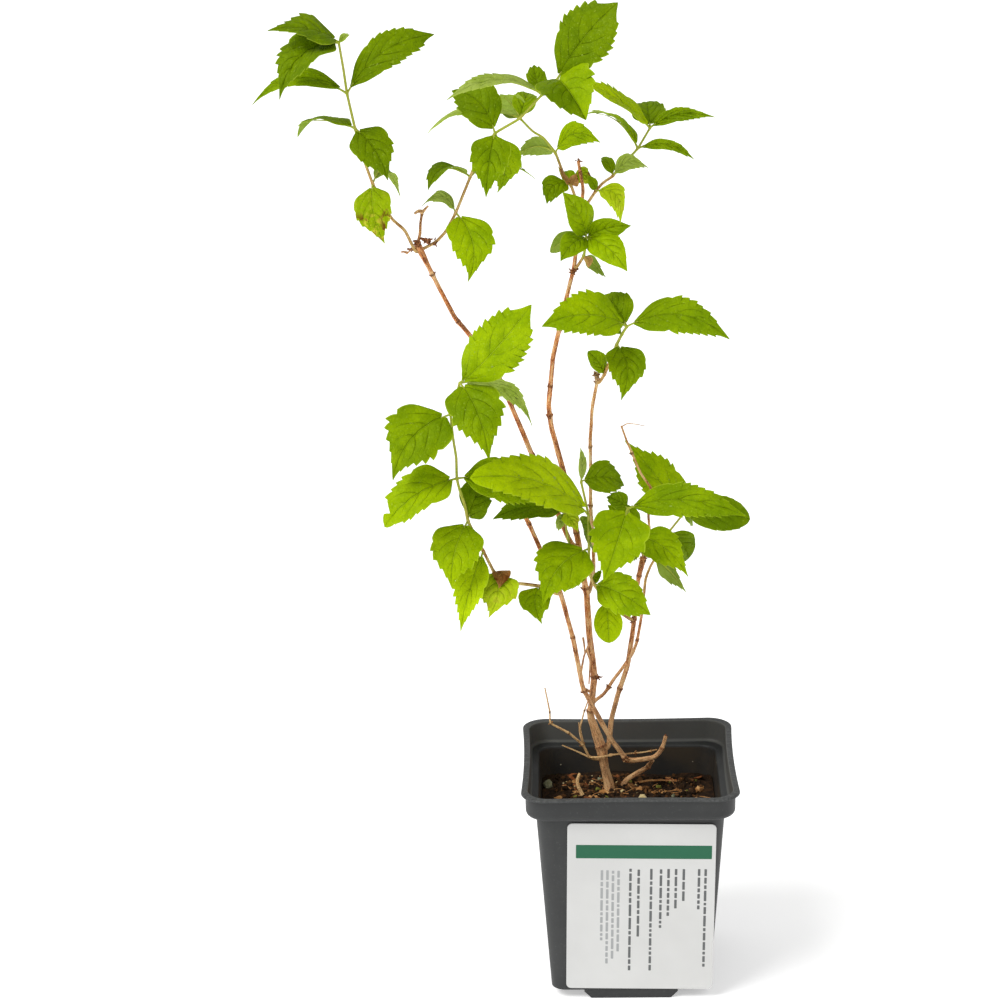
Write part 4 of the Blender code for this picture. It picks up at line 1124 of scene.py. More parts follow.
@dataclass
class Stems:
    """The bare stems: smooth tapering tubes with bark relief, swollen nodes and pairs of bud scales."""

    grain: Grain
    sides: int = 20
    step: float = 0.55
    blur: float = 1.6
    ridge: float = 0.09
    rough: float = 0.06
    node_height: float = 0.7
    node_swell: float = 0.42
    pair_turn: float = 1.57
    scar_length: float = 0.8
    scar_dark: float = 0.8
    dead_size: float = 0.92
    old_height: float = 92.0
    young_height: float = 175.0
    young_part: float = 0.45
    routes: dict = field(default_factory=dict)

    def bark_radii(self, route: Route, radii: list, nodes: tuple) -> Array:
        """Radius at each ring and side: taper + long ridges + fine roughness + a bell at each node.

        Args:
            route: The stem's line.
            radii: Radii at the path's points.
            nodes: Heights of the nodes.

        Returns:
            Samples by sides.
        """
        plain = np.interp(route.index, np.arange(len(radii)), radii)
        turn = turns(self.sides)
        place = joined(1.3 * np.cos(turn), 1.3 * np.sin(turn), route.along[:, None] * 0.14)
        wide = plain[:, None] * (1.0 + self.ridge * self.grain.at(place, 0.7))
        wide = wide + self.rough * self.grain.at(place * (1.0, 1.0, 4.0), 0.38)
        for number, height in enumerate(nodes):
            rising = route.line[-1, 2] > route.line[0, 2]
            centre = np.interp(height, route.line[:, 2], route.along) if rising else 0.0
            bell = np.exp(-((route.along - centre) / self.node_height) ** 2)
            lobes = 0.75 + 0.25 * np.cos(2.0 * (turn - number * self.pair_turn))
            wide = wide + (self.node_swell * np.sqrt(plain) * bell)[:, None] * lobes
        return wide

    def age(self, route: Route) -> Array:
        """Age of the bark: old and tan at the foot, brown higher up."""
        return 1.0 - self.young_part * smoothstep(self.old_height, self.young_height, route.line[:, 2])

    def scars(self, route: Route, nodes: tuple) -> Array:
        """Darkness of the bark: a narrow bell round each node's height."""
        dark = np.zeros(len(route.along))
        for height in nodes:
            at = route.at_height(height)
            dark = np.maximum(dark, np.exp(-((route.along - route.along[at]) / self.scar_length) ** 2))
        return self.scar_dark * dark

    def bud(self, batch: Batch, start: Array, out: Array, ahead: Array, size: float, stout: float) -> None:
        """Add one pointed scale: a tube whose radius falls as 1 - share^1.8, bent from out towards ahead.

        Args:
            batch: The piece that takes it.
            start: Its foot.
            out: Direction in which it leaves the bark.
            ahead: What it bends by, as a vector.
            size: Its length.
            stout: Greatest radius as a share of its length.
        """
        path = [start, start + size * (0.9 * out + 0.2 * ahead), start + size * (1.1 * out + ahead)]
        bent = Route(path, 0.25, 0.2)
        share = bent.along / bent.along[-1]
        radii = size * stout * (1.0 - share ** 1.8) + 0.05
        batch.tube(bent.rings(radii, 7), bent.along, 0, 0.8, np.linspace(1.0, 0.65, len(share)))

    def clump(self, batch: Batch, place: tuple, reach: float, count: int, lean: tuple,
              dice: random.Random) -> None:
        """Add a cluster of old bud scales that spread from one place, most of them towards a lean.

        Args:
            batch: The piece that takes them.
            place: Middle of the cluster.
            reach: Length of the longest scale.
            count: Number of scales.
            lean: Direction and strength of the lean.
            dice: Source of their spread.
        """
        for _ in range(count):
            out = unit(bell_vector(dice) + np.array(lean))
            start = np.array(place) + 0.35 * bell_vector(dice)
            self.bud(batch, start, out, 0.6 * bell_vector(dice, 0.6), reach * dice.uniform(0.45, 1.0), 0.3)

    def scales(self, batch: Batch, route: Route, radii: list, nodes: tuple, dice: random.Random) -> None:
        """Add a pair of small pointed bud scales, opposite each other, at each node.

        Args:
            batch: The piece that takes them.
            route: The stem's line.
            radii: Radii at the path's points.
            nodes: Heights of the nodes.
            dice: Source of their spread.
        """
        for number, height in enumerate(nodes):
            at = route.at_height(height)
            wide = float(np.interp(route.index[at], np.arange(len(radii)), radii))
            for half in (0.0, math.pi):
                turn = number * self.pair_turn + half + dice.uniform(-0.4, 0.4)
                out = math.cos(turn) * route.side[at] + math.sin(turn) * route.other[at]
                size = dice.uniform(0.6, 0.95) * (0.75 + 0.3 * wide)
                ahead = route.tangent[at] * dice.uniform(0.6, 1.3)
                self.bud(batch, route.line[at] + out * (0.75 * wide), out, ahead, size, 0.5)

    def build(self, finishes: dict) -> None:
        """Make every stem as its own piece.

        Args:
            finishes: Materials by kind of bark.
        """
        dice = random.Random(SEED)
        for number, limb in enumerate(LIMBS):
            path = grown_path(limb, self.routes)
            radii = path_radii(limb, path)
            self.routes[limb.name] = (path, radii)
            route = Route(path, self.step, self.blur)
            batch = Batch(limb.name + "_bark")
            grid = route.rings(self.bark_radii(route, radii, limb.nodes), self.sides)
            batch.tube(grid, route.along + 90.0 * number, 0, self.age(route), self.scars(route, limb.nodes))
            self.scales(batch, route, radii, limb.nodes, dice)
            for place, reach, count, lean in limb.clumps:
                self.clump(batch, place, reach, count, lean, dice)
            for points, radius in limb.spurs:
                spur = Route(points, 0.4, 0.5)
                taper = radius * (1.0 - 0.5 * spur.along / spur.along[-1])
                batch.tube(spur.rings(taper, 8), spur.along, 0, 0.9, 0.25)
            slot = "dry_twig" if limb.bark is Bark.DRY else "bark"
            settle(batch.build([finishes[limb.bark]]), slot, limb.name)

    def build_dead(self, finish: Material) -> None:
        """Make the forked dead twigs left of the stems as one piece."""
        batch = Batch("dead_twigs_left_bark")
        dice = random.Random(SEED + 3)
        path = grown_path(DEAD_TWIGS, self.routes)
        routes = [(path, path_radii(DEAD_TWIGS, path))]
        routes += [(list(side), list(np.linspace(0.5, 0.25, len(side)))) for side in DEAD_SIDE_TWIGS]
        for number, (points, radii) in enumerate(routes):
            route = Route(points, 0.4, 0.9)
            nodes = tuple(point[2] for point in points[2:-1])
            grid = route.rings(self.bark_radii(route, radii, nodes) * self.dead_size, self.sides)
            batch.tube(grid, route.along + 40.0 * number, 0, 1.0, 0.8 * self.scars(route, nodes))
            self.scales(batch, route, radii, nodes, dice)
        settle(batch.build([finish]), "dry_twig", DEAD_TWIGS.name)


@dataclass
class Foliage:
    """Leafy shoots: green twigs with stalks, and toothed, veined blades grown by the source's rule."""

    routes: dict
    across_places: tuple = (0.0, 0.05, 0.16, 0.3, 0.46, 0.62, 0.78, 0.9, 1.0)
    tooth_places: tuple = (0.0, 0.3, 0.6, 0.85, 0.985)
    tooth_from: float = 0.34
    tooth_to: float = 0.83
    tooth_depth: float = 0.19
    tooth_lean: float = 0.16
    reach_per_tooth: float = 6.8
    teeth_range: tuple = (2, 7)
    base_width: float = 0.42
    least_half: float = 0.12
    lobe: float = 0.055
    quilt: float = 0.02
    bite_place: float = 0.83
    bite_length: float = 0.045
    curl_from: float = 0.7
    groove_depth: float = 0.16
    groove_half: float = 0.45
    edge_thick: float = 0.22
    edge_thinning: float = 0.45
    waves: float = 1.6
    wave_shift: float = 1.3
    bend_range: tuple = (0.03, 0.08)
    fold_range: tuple = (8.0, 20.0)
    arch_range: tuple = (0.05, 0.16)
    ripple_range: tuple = (0.06, 0.12)
    stalk_radius: float = 0.42
    stalk_end: float = 0.86
    stalk_rings: int = 26
    stalk_sides: int = 8
    stalk_sink: float = 0.3
    stalk_thinning: float = 0.72
    twig_sides: int = 12
    twig_node: float = 0.16
    twig_node_length: float = 0.7

    def stations(self, teeth: int) -> Array:
        """Shares of the blade where rows lie: a rounded base, five to a tooth, and the tip.

        Args:
            teeth: Teeth on each side.

        Returns:
            Rising values from 0 to 1.
        """
        base = self.tooth_from * (np.arange(10) / 10.0) ** 1.4
        size = (self.tooth_to - self.tooth_from) / teeth
        rows = self.tooth_from + size * (np.arange(teeth)[:, None] + np.array(self.tooth_places)[None, :])
        tip = np.linspace(self.tooth_to, 1.0, 6)
        return np.concatenate((base, rows.reshape(-1), tip))

    def half_width(self, width: float, share: Array, cut: Cut) -> Array:
        """Half width of the blade: the source's outline in the leaf's own form, with a rounded base.

        Args:
            width: Greatest width.
            share: Places along the blade.
            cut: The leaf's form.

        Returns:
            Half widths in millimetres.
        """
        place = (BASE_ROUND + (1.0 - BASE_ROUND) * share) ** cut.shift
        plain = np.sin(math.pi * np.minimum(place, 1.0)) ** cut.full * (1.0 - cut.draw * share ** 3)
        base = np.sqrt(1.0 - (1.0 - np.minimum(share / 0.15, 1.0)) ** 2)
        base = self.base_width + (1.0 - self.base_width) * base
        tip = 1.0 - cut.tip * smoothstep(cut.tip_from, 0.97, share)
        return np.maximum(0.5 * cut.wide * width * plain * base * tip, self.least_half)

    def midrib(self, root: Array, leaf: Leaf, share: Array, bend: float) -> tuple:
        """The leaf's line by the source's rule: it rises first and then hangs to the tip.

        Args:
            root: Where the stalk leaves the twig.
            leaf: The leaf.
            share: Places along the whole leaf, from 0 at the root to 1 at the tip.
            bend: Arch out of the upper face.

        Returns:
            Points of the line and the direction across the blade.
        """
        heading, away = math.radians(leaf.heading), math.radians(leaf.away)
        level = math.cos(away)
        along = np.array((math.sin(heading) * level, math.sin(away), math.cos(heading) * level))
        upper = unit(FACING - (FACING @ along) * along)
        turn = math.radians(leaf.roll)
        upper = upper * math.cos(turn) + np.cross(along, upper) * math.sin(turn)
        arch = bend * upper + LEAF_DROOP * (UP - (UP @ along) * along)
        arch = arch + leaf.sweep * unit(np.cross(FACING, along))
        rise = 4.0 * leaf.reach * share * (1.0 - share)
        return root + along * (leaf.reach * share)[:, None] + arch * rise[:, None], np.cross(along, upper)

    def blade(self, batch: Batch, root: Array, leaf: Leaf, bend: float, fold: float, slot: int,
              cut: Cut, dice: random.Random) -> None:
        """Add one blade as a thin closed solid.

        A point lies at the midrib's line, plus half width x across x (1 + teeth) sideways, plus the teeth's
        lean less the base's lobe forward, plus a height along the blade's normal: fold - arch of the edges
        + quilting between the veins + slow waves of the edges - groove of the midrib.

        Args:
            batch: The piece that takes it.
            root: Where the stalk leaves the twig.
            leaf: The leaf.
            bend: Arch out of the upper face.
            fold: Slope of each half.
            slot: Finish number of the upper face.
            cut: The leaf's form.
            dice: Source of this leaf's waves.
        """
        fewest, most = self.teeth_range
        teeth = max(fewest, min(most, int(round(leaf.reach / self.reach_per_tooth))))
        share = self.stations(teeth)
        wide = self.half_width(leaf.width, share, cut)
        right = np.array(self.across_places)
        across = np.concatenate((-right[:0:-1], right))
        whole = PETIOLE_SHARE + (1.0 - PETIOLE_SHARE) * share
        line, side = self.midrib(root, leaf, whole, bend)
        curled = np.maximum((whole - self.curl_from) / (1.0 - self.curl_from), 0.0)
        line[:, 2] += cut.curl * leaf.reach * curled ** 2
        ahead = unit(np.gradient(line, whole, axis=0))
        normal = unit(np.cross(side, ahead))
        long = leaf.reach * (1.0 - PETIOLE_SHARE)
        tau = across[None, :]
        level = np.abs(tau)
        edge = smoothstep(0.5, 1.0, level)
        beat = np.clip((share - self.tooth_from) / (self.tooth_to - self.tooth_from), 0.0, 1.0 - 1e-6) * teeth
        inside = (share >= self.tooth_from) & (share < self.tooth_to)
        tooth = np.where(inside, (beat % 1.0) ** 0.9 - 0.4, 0.0)
        jitter = np.array([dice.uniform(0.6, 1.3) for _ in range(2 * teeth)]).reshape(2, teeth)
        order = np.minimum(beat.astype(int), teeth - 1)
        uneven = np.where(tau < 0.0, jitter[0, order][:, None], jitter[1, order][:, None])
        depth = self.tooth_depth * cut.teeth * min(max((leaf.reach - 8.0) / 26.0, 0.3), 1.0)
        share, wide = share[:, None], wide[:, None]
        gap = np.where(tau > 0.0, cut.bite, 0.35 * cut.bite)
        gap = gap * np.exp(-((share - self.bite_place) / self.bite_length) ** 2)
        outward = tau * wide * (1.0 + depth * tooth[:, None] * uneven * edge) * (1.0 - gap)
        forward = np.where(inside, (beat % 1.0) ** 3, 0.0)[:, None] * edge * uneven
        forward = forward * self.tooth_lean * cut.teeth * long / teeth
        forward = forward - self.lobe * long * np.sin(math.pi * level ** 0.85) * np.exp(-share / 0.08)
        vein = (share - VEIN_FIRST - VEIN_ARCH * level ** VEIN_BOW) / VEIN_STEP
        quilt = np.abs(np.sin(math.pi * vein)) ** 0.7
        quilt = quilt * np.minimum(1.0, 4.0 * (1.0 - share)) * (1.0 - level ** 3)
        wave = dice.uniform(0.0, 2.0 * math.pi)
        ripple = 2.0 * math.pi * self.waves * share + wave + self.wave_shift * np.sign(tau)
        ripple = np.sin(ripple) * level ** 2
        height = (fold + cut.fold) * np.abs(outward)
        height = height - dice.uniform(*self.arch_range) * level ** 2.2 * wide
        height = height + self.quilt * long * quilt + dice.uniform(*self.ripple_range) * wide * ripple
        height = height - self.groove_depth * np.exp(-(outward / self.groove_half) ** 2)
        middle = line[:, None] + outward[..., None] * side + forward[..., None] * ahead[:, None]
        middle = middle + height[..., None] * normal[:, None]
        thick = self.edge_thick * (1.0 - self.edge_thinning * level ** 4) * np.ones_like(share)
        half = 0.5 * thick[..., None] * normal[:, None]
        rows, columns = len(share), len(across)
        upper, rim, lower = plate_faces(rows, columns)
        place = joined(share, 0.5 + 0.5 * tau).reshape(-1, 2)
        place = np.concatenate((place, place))
        finish = slot
        if cut.dim:
            second = np.tile(np.arange(columns - 1) >= (columns - 1) // 2, rows - 1)
            finish = np.where(second, TONE_ORDER.index(Tone.DARK), slot)
        blocks = ((upper, finish), (rim, slot), (lower, len(TONE_ORDER)))
        batch.add(np.concatenate((middle + half, middle - half)),
                  [(block, place[block], number) for block, number in blocks])

    def stalk(self, batch: Batch, root: Array, leaf: Leaf, bend: float) -> None:
        """Add the leaf's stalk, which runs on under the blade as a thinning rib.

        Args:
            batch: The piece that takes it.
            root: Where the stalk leaves the twig.
            leaf: The leaf.
            bend: Arch out of the upper face.
        """
        share = np.linspace(0.0, self.stalk_end, self.stalk_rings)
        line, side = self.midrib(root, leaf, share, bend)
        ahead = unit(np.gradient(line, share, axis=0))
        normal = unit(np.cross(side, ahead))
        sunk = smoothstep(0.6 * PETIOLE_SHARE, 1.4 * PETIOLE_SHARE, share)
        line = line - normal * (sunk * self.stalk_sink)[:, None]
        size = min(1.0, 0.45 + leaf.reach / 50.0)
        radius = size * self.stalk_radius * (1.0 + 0.5 * np.exp(-share * leaf.reach / 0.8))
        radius = radius * (1.0 - self.stalk_thinning * smoothstep(PETIOLE_SHARE, 0.8, share))
        side = np.broadcast_to(side, normal.shape)
        grid = rings_round(line, side, normal, radius[:, None], self.stalk_sides)
        batch.tube(grid[:, ::-1], share * leaf.reach)

    def build(self, blades: list, twig: Material) -> None:
        """Make the blades and the twig of every shoot.

        Args:
            blades: Materials of the upper faces in the order of Tone, then the underside's.
            twig: Material of the green twigs.
        """
        for number, shoot in enumerate(SHOOTS):
            dice = random.Random(SEED + number)
            path = grown_path(shoot, self.routes)
            route = Route(path, 0.45, 1.2)
            radii = np.interp(route.index, np.arange(len(path)), path_radii(shoot, path))
            twigs = Batch(shoot.name + "_twig")
            leaves = Batch(shoot.name + "_leaves")
            for joint in sorted({leaf.node for leaf in shoot.leaves}):
                centre = np.interp(joint + 2, route.index, route.along)
                bell = np.exp(-((route.along - centre) / self.twig_node_length) ** 2)
                radii = radii + self.twig_node * bell
            age = np.clip(1.0 - route.along / max(route.along[-1], 18.0) * 1.3, 0.2, 1.0)
            twigs.tube(route.rings(radii, self.twig_sides), route.along + 30.0 * number, 0, age)
            for order, leaf in enumerate(shoot.leaves):
                bend = dice.uniform(*self.bend_range)
                fold = math.tan(math.radians(dice.uniform(*self.fold_range)))
                own = random.Random(1000 * number + order)
                joint = np.argmin(np.abs(route.index - (leaf.node + 2)))
                root = np.array(shoot.path[leaf.node], float)
                root = root + 0.5 * (route.line[joint] - root)
                self.stalk(twigs, root, leaf, bend)
                slot, cut = TONE_ORDER.index(Tone(shoot.tones[order])), FORMS[Form(shoot.forms[order])]
                self.blade(leaves, root, leaf, bend, fold, slot, cut, own)
            settle(twigs.build([twig]), "bark")
            settle(leaves.build(blades, 50.0), "foliage", shoot.name)


@dataclass
class Pot:
    """Square nursery pot: a thin wall with a stepped collar, a flared lip and a cross-shaped foot."""

    corner_steps: int = 12
    side_steps: int = 10
    fillet: float = 0.55
    fillet_steps: int = 4
    foot_arm: float = 19.6
    foot_chamfer: float = 3.0
    drain_radius: float = 3.0
    drain_centre: float = 26.0
    drain_sides: int = 32
    drain_cut: tuple = (2.0, 8.0)
    bow: float = 0.85

    def profile(self) -> Array:
        """Rows of half width, corner radius, bow and height, from the foot over the lip to the floor."""
        return np.array((
            (BODY_FOOT_HALF, 6.0, 0.0, FOOT_HEIGHT),
            (BODY_TOP_HALF, 7.5, 0.0, LEDGE - 0.5),
            (BODY_TOP_HALF + 1.8, 8.2, 0.2, LEDGE - 0.1),
            (COLLAR_HALF - 0.6, 8.8, 0.4, LEDGE + 1.0),
            (COLLAR_HALF - 0.1, 9.0, 0.6, LEDGE + 2.3),
            (COLLAR_HALF, 9.2, 0.7, POT_HEIGHT - LIP_THICK - 0.3),
            (LIP_HALF - 0.2, 9.7, self.bow, POT_HEIGHT - LIP_THICK),
            (LIP_HALF, 9.8, self.bow, POT_HEIGHT - 0.6 * LIP_THICK),
            (LIP_HALF - 0.2, 9.8, self.bow, POT_HEIGHT),
            (COLLAR_HALF - 0.8, 9.0, 0.7, POT_HEIGHT),
            (COLLAR_HALF - WALL, 8.8, 0.7, POT_HEIGHT - 0.5),
            (COLLAR_HALF - WALL - 0.2, 8.6, 0.5, LEDGE + 2.0),
            (COLLAR_HALF - WALL - 1.0, 8.2, 0.4, LEDGE + 1.1),
            (BODY_TOP_HALF - WALL + 0.4, 6.8, 0.0, LEDGE + 0.7),
            (BODY_TOP_HALF - WALL, 6.6, 0.0, LEDGE - 0.1),
            (BODY_FOOT_HALF - WALL, 5.0, 0.0, FOOT_HEIGHT + FLOOR_THICK)))

    def rounded(self, rows: Array) -> Array:
        """Replace each inner corner of the profile by a small curve (1-t)^2 a + 2t(1-t) corner + t^2 b.

        Args:
            rows: The profile's rows.

        Returns:
            A denser profile.
        """
        corner = rows[1:-1]
        before, after = rows[:-2] - corner, rows[2:] - corner
        flat = np.array((1.0, 0.0, 0.0, 1.0))
        ends = []
        for arm in (before, after):
            length = np.linalg.norm(arm * flat, axis=1)
            share = np.minimum(self.fillet, 0.45 * length) / length
            ends.append(corner + arm * share[:, None])
        t = np.linspace(0.0, 1.0, self.fillet_steps + 1)[None, :, None]
        first, middle, last = ends[0][:, None], corner[:, None], ends[1][:, None]
        curve = (1 - t) ** 2 * first + 2 * t * (1 - t) * middle + t ** 2 * last
        return np.concatenate((rows[:1], curve.reshape(-1, 4), rows[-1:]))

    def rings(self, rows: Array) -> Array:
        """Rounded squares: quarter circles at the corners, and sides that bow in by a parabola.

        Args:
            rows: Half width, corner radius, bow and height of each ring.

        Returns:
            Rings by points by 3 numbers, counterclockwise seen from above.
        """
        half, radius, bow, height = (rows[:, None, column] for column in range(4))
        flat = half - radius
        angle = np.linspace(0.0, 0.5 * math.pi, self.corner_steps + 1)[None, :]
        bend = joined(flat + radius * np.cos(angle), flat + radius * np.sin(angle))
        along = 1.0 - 2.0 * np.arange(1, self.side_steps)[None, :] / self.side_steps
        side = joined(flat * along, half - bow * (1.0 - along ** 2))
        ring = np.concatenate(four_turns(np.concatenate((bend, side), axis=1)), axis=1)
        lift = np.broadcast_to(height[..., None], (*ring.shape[:2], 1))
        return np.concatenate((ring, lift), axis=-1)

    def foot(self) -> tuple:
        """Points and faces of the cross-shaped foot: three twelve-cornered outlines one above the other."""
        reach = BODY_FOOT_HALF - 0.2
        rings = []
        for height, inset in ((0.0, self.foot_chamfer), (self.foot_chamfer, 0.0), (FOOT_HEIGHT + 0.7, 0.0)):
            side = self.foot_arm - inset
            quarter = np.array(((side, -reach), (side, -side), (reach, -side)))
            outline = np.concatenate(four_turns(quarter))
            rings.append(np.column_stack((outline, np.full(len(outline), height))))
        return np.concatenate(rings), capped_faces(len(rings), len(rings[0]))

    def cut(self, piece: Piece, operation: str, points: Array, faces: list) -> None:
        """Join or cut the piece with one closed solid.

        Args:
            piece: The piece.
            operation: UNION or DIFFERENCE.
            points: The solid's points in millimetres.
            faces: The solid's faces.
        """
        tool = solid("tool", points, faces)
        modifier = piece.modifiers.new("cut", "BOOLEAN")
        modifier.operation, modifier.solver, modifier.object = operation, "EXACT", tool
        graph = bpy.context.evaluated_depsgraph_get()
        made = bpy.data.meshes.new_from_object(piece.evaluated_get(graph))
        piece.modifiers.remove(modifier)
        old, piece.data = piece.data, made
        bpy.data.meshes.remove(old)
        bpy.data.objects.remove(tool, do_unlink=True)

    def build(self, finish: Material) -> None:
        """Make the pot.

        Args:
            finish: Its material.
        """
        grid = self.rings(self.rounded(self.profile()))
        piece = solid("pot_shell", grid.reshape(-1, 3), capped_faces(*grid.shape[:2]))
        self.cut(piece, "UNION", *self.foot())
        turn = turns(self.drain_sides)
        for corner in ((-1, -1), (-1, 1), (1, -1), (1, 1)):
            x, y = self.drain_centre * np.array(corner)
            ends = [joined(x + self.drain_radius * np.cos(turn), y + self.drain_radius * np.sin(turn), height)
                    for height in self.drain_cut]
            self.cut(piece, "DIFFERENCE", np.concatenate(ends), capped_faces(2, self.drain_sides))
        piece.data.materials.clear()
        piece.data.materials.append(finish)
        piece.data.shade_smooth()
        piece.data.set_sharp_from_angle(angle=math.radians(35.0))
        settle(piece, "pot", "pot")


@dataclass
class Soil:
    """Potting mix: a rough fill with crumbs, bark chips, pale grit, root threads and stones on top.

    A row of bits is a piece's name, its finishes, number, least and greatest radius, and thickness as a share
    of the width. A row of roughness is a shift of the noise, its scale and its height. A stone is its place
    and radius.
    """

    grain: Grain
    pot: Pot
    rings: int = 46
    bits: tuple = (("soil_crumbs", ("earth", "earth", "crumb"), 1900, 0.35, 1.5, 0.8),
                   ("soil_bark_chips", ("chip", "rust"), 150, 0.5, 2.6, 0.3),
                   ("soil_grit", ("grit", "moss"), 120, 0.3, 1.3, 0.8))
    roughness: tuple = ((0.0, 9.0, 0.9), (50.0, 3.6, 0.6), (90.0, 1.3, 0.35))
    flat_reach: float = 17.0
    flat_blend: float = 14.0
    bit_reach: float = 0.9
    bit_margin: float = 3.2
    bit_noise: float = 0.55
    threads: int = 60
    thread_points: int = 7
    ball_rows: int = 6
    ball_sides: int = 8
    stones: tuple = ((-34.2, 21.0, 2.4), (-33.5, 4.0, 1.7), (-22.0, -20.0, 1.6), (-12.0, 25.0, 1.5),
                     (6.0, 2.0, 1.9), (13.0, -10.0, 1.6), (19.0, 9.0, 1.4), (25.0, -19.0, 1.7),
                     (30.0, 17.0, 1.5), (-3.0, -14.0, 1.3))
    stone_lift: float = 0.3
    long_root: tuple = ((3, 20, 75.0), (9, 21, 75.6), (15, 21.5, 75.5), (21, 21, 75.2))
    long_root_radius: float = 0.55

    def level(self, places: Array) -> Array:
        """Height of the soil at places: flat round the stems, lower along the walls, rough all over.

        Args:
            places: X and Y in millimetres.

        Returns:
            Heights in millimetres.
        """
        away = np.linalg.norm(places - STEM_PLACE, axis=-1)
        blend = np.clip((away - self.flat_reach) / self.flat_blend, 0.0, 1.0)
        spot = np.concatenate((places, np.zeros((*places.shape[:-1], 1))), axis=-1)
        rough = sum(self.grain.at(spot + shift, scale) * height for shift, scale, height in self.roughness)
        return SOIL_TOP - blend * SOIL_DROP + rough * (0.35 + 0.65 * blend)

    def build_fill(self, finish: Material) -> None:
        """Make the fill: rings that shrink from the wall to the middle, and plain sides down to the floor.

        Args:
            finish: Its material.
        """
        floor, edge = FOOT_HEIGHT + FLOOR_THICK + GAP, SOIL_TOP - SOIL_DROP
        inset = WALL + GAP + 0.05
        rows = np.array([(wall_half(z) - inset, radius, 0.0, z) for z, radius in ((floor, 4.7), (edge, 6.0))])
        grid = self.pot.rings(rows)
        share = np.linspace(1.0, 0.02, self.rings)[:, None, None]
        top = grid[1][None, :, :2] * share
        heights = self.level(top)
        heights[0] = np.minimum(heights[0], edge + 0.6)
        surface = np.concatenate((top, heights[..., None]), axis=-1)
        whole = np.concatenate((grid[:1], surface))
        batch = Batch("soil_fill")
        batch.tube(whole, np.linspace(0.0, 50.0, len(whole)))
        settle(batch.build([finish], 60.0), "soil", "soil")

    def blobs(self, count: int, low: float, high: float, flat: float, seed: int) -> tuple:
        """Places and turned, squashed balls for loose bits.

        A ball's point is centre + turned (size x direction x (1 + noise)); its rows run from pole to pole.

        Args:
            count: Number of bits.
            low: Smallest radius.
            high: Largest radius.
            flat: Thickness as a share of the width.
            seed: Seed of the spread.

        Returns:
            Grids of points, bits by rows by sides by 3, and a random value for each bit.
        """
        dice = np.random.default_rng(seed)
        half = (wall_half(SOIL_TOP) - self.bit_margin) * self.bit_reach
        centre = dice.uniform(-half, half, (count, 2))
        size = low + (high - low) * dice.random(count) ** 2.2
        latitude = np.linspace(0.12, math.pi - 0.12, self.ball_rows)[:, None]
        turn = turns(self.ball_sides)[None, :]
        ball = joined(np.sin(latitude) * np.cos(turn), np.sin(latitude) * np.sin(turn), -np.cos(latitude))
        shape = dice.uniform(0.6, 1.3, (count, 3))
        shape[:, 2] *= flat
        points = ball[None] * shape[:, None, None]
        offset = dice.uniform(0.0, 99.0, (count, 1, 1, 3))
        points = points * (1.0 + self.bit_noise * self.grain.at(ball[None] + offset, 0.6)[..., None])
        axis = unit(dice.normal(size=(count, 3)))
        angle = dice.uniform(0.0, math.pi, count) * (1.0 if flat > 0.6 else 0.22)
        cos, sin = np.cos(angle)[:, None, None, None], np.sin(angle)[:, None, None, None]
        axis = axis[:, None, None]
        points = (points * cos + np.cross(np.broadcast_to(axis, points.shape), points) * sin
                  + axis * (points * axis).sum(axis=-1, keepdims=True) * (1.0 - cos))
        points = points * size[:, None, None, None]
        lift = self.level(centre) + 0.25 * size * flat
        points[..., :2] += centre[:, None, None]
        points[..., 2] += lift[:, None, None]
        return points, dice.random(count)

    def scatter(self, name: str, finishes: list, grids: Array, pick: Array) -> None:
        """Make one piece of many loose bits.

        Args:
            name: Name of the piece.
            finishes: Its materials.
            grids: Bits by rows by sides by 3 numbers.
            pick: Value from 0 to 1 of each bit, which picks its material.
        """
        batch = Batch(name)
        for grid, value in zip(grids, pick):
            batch.tube(grid, np.arange(len(grid), dtype=float), int(value * len(finishes)))
        settle(batch.build(finishes, 60.0), "soil")

    def build_stones(self, finishes: list) -> None:
        """Make the larger stones: noise-bent balls sunk by a third, which take the finishes in turn."""
        grids, _ = self.blobs(len(self.stones), 1.0, 1.0, 0.75, SEED + 7)
        for number, (x, y, radius) in enumerate(self.stones):
            height = float(self.level(np.array((x, y)))) + self.stone_lift * radius
            middle = grids[number].reshape(-1, 3).mean(axis=0)
            grids[number] = (grids[number] - middle) * radius + (x, y, height)
        kinds = len(finishes)
        self.scatter("soil_stones", finishes, grids, (np.arange(len(grids)) % kinds + 0.5) / kinds)

    def build_threads(self, finish: Material) -> None:
        """Make root threads: thin tubes along lines that turn at random, and one longer root."""
        dice = np.random.default_rng(SEED + 5)
        batch = Batch("soil_threads")
        routes = []
        for _ in range(self.threads):
            start, heading = dice.uniform(-27.0, 27.0, 2), dice.uniform(0.0, 2.0 * math.pi)
            steps = np.arange(self.thread_points) * dice.uniform(0.8, 2.0)
            bend = heading + np.cumsum(dice.normal(0.0, 0.45, self.thread_points))
            moves = joined(np.cos(bend), np.sin(bend)) * np.gradient(steps)[:, None]
            places = start + np.cumsum(moves, axis=0)
            arch = np.sin(np.linspace(0.0, math.pi, self.thread_points))
            lift = self.level(places) + 0.5 + dice.uniform(0.0, 1.2) * arch
            routes.append((np.column_stack((places, lift)), dice.uniform(0.14, 0.3)))
        routes.append((self.long_root, self.long_root_radius))
        for number, (points, radius) in enumerate(routes):
            route = Route(points, 0.5, 0.8)
            share = route.along / route.along[-1]
            batch.tube(route.rings(radius * (1.0 - 0.6 * share), 6), route.along + 20.0 * number)
        settle(batch.build([finish]), "soil")

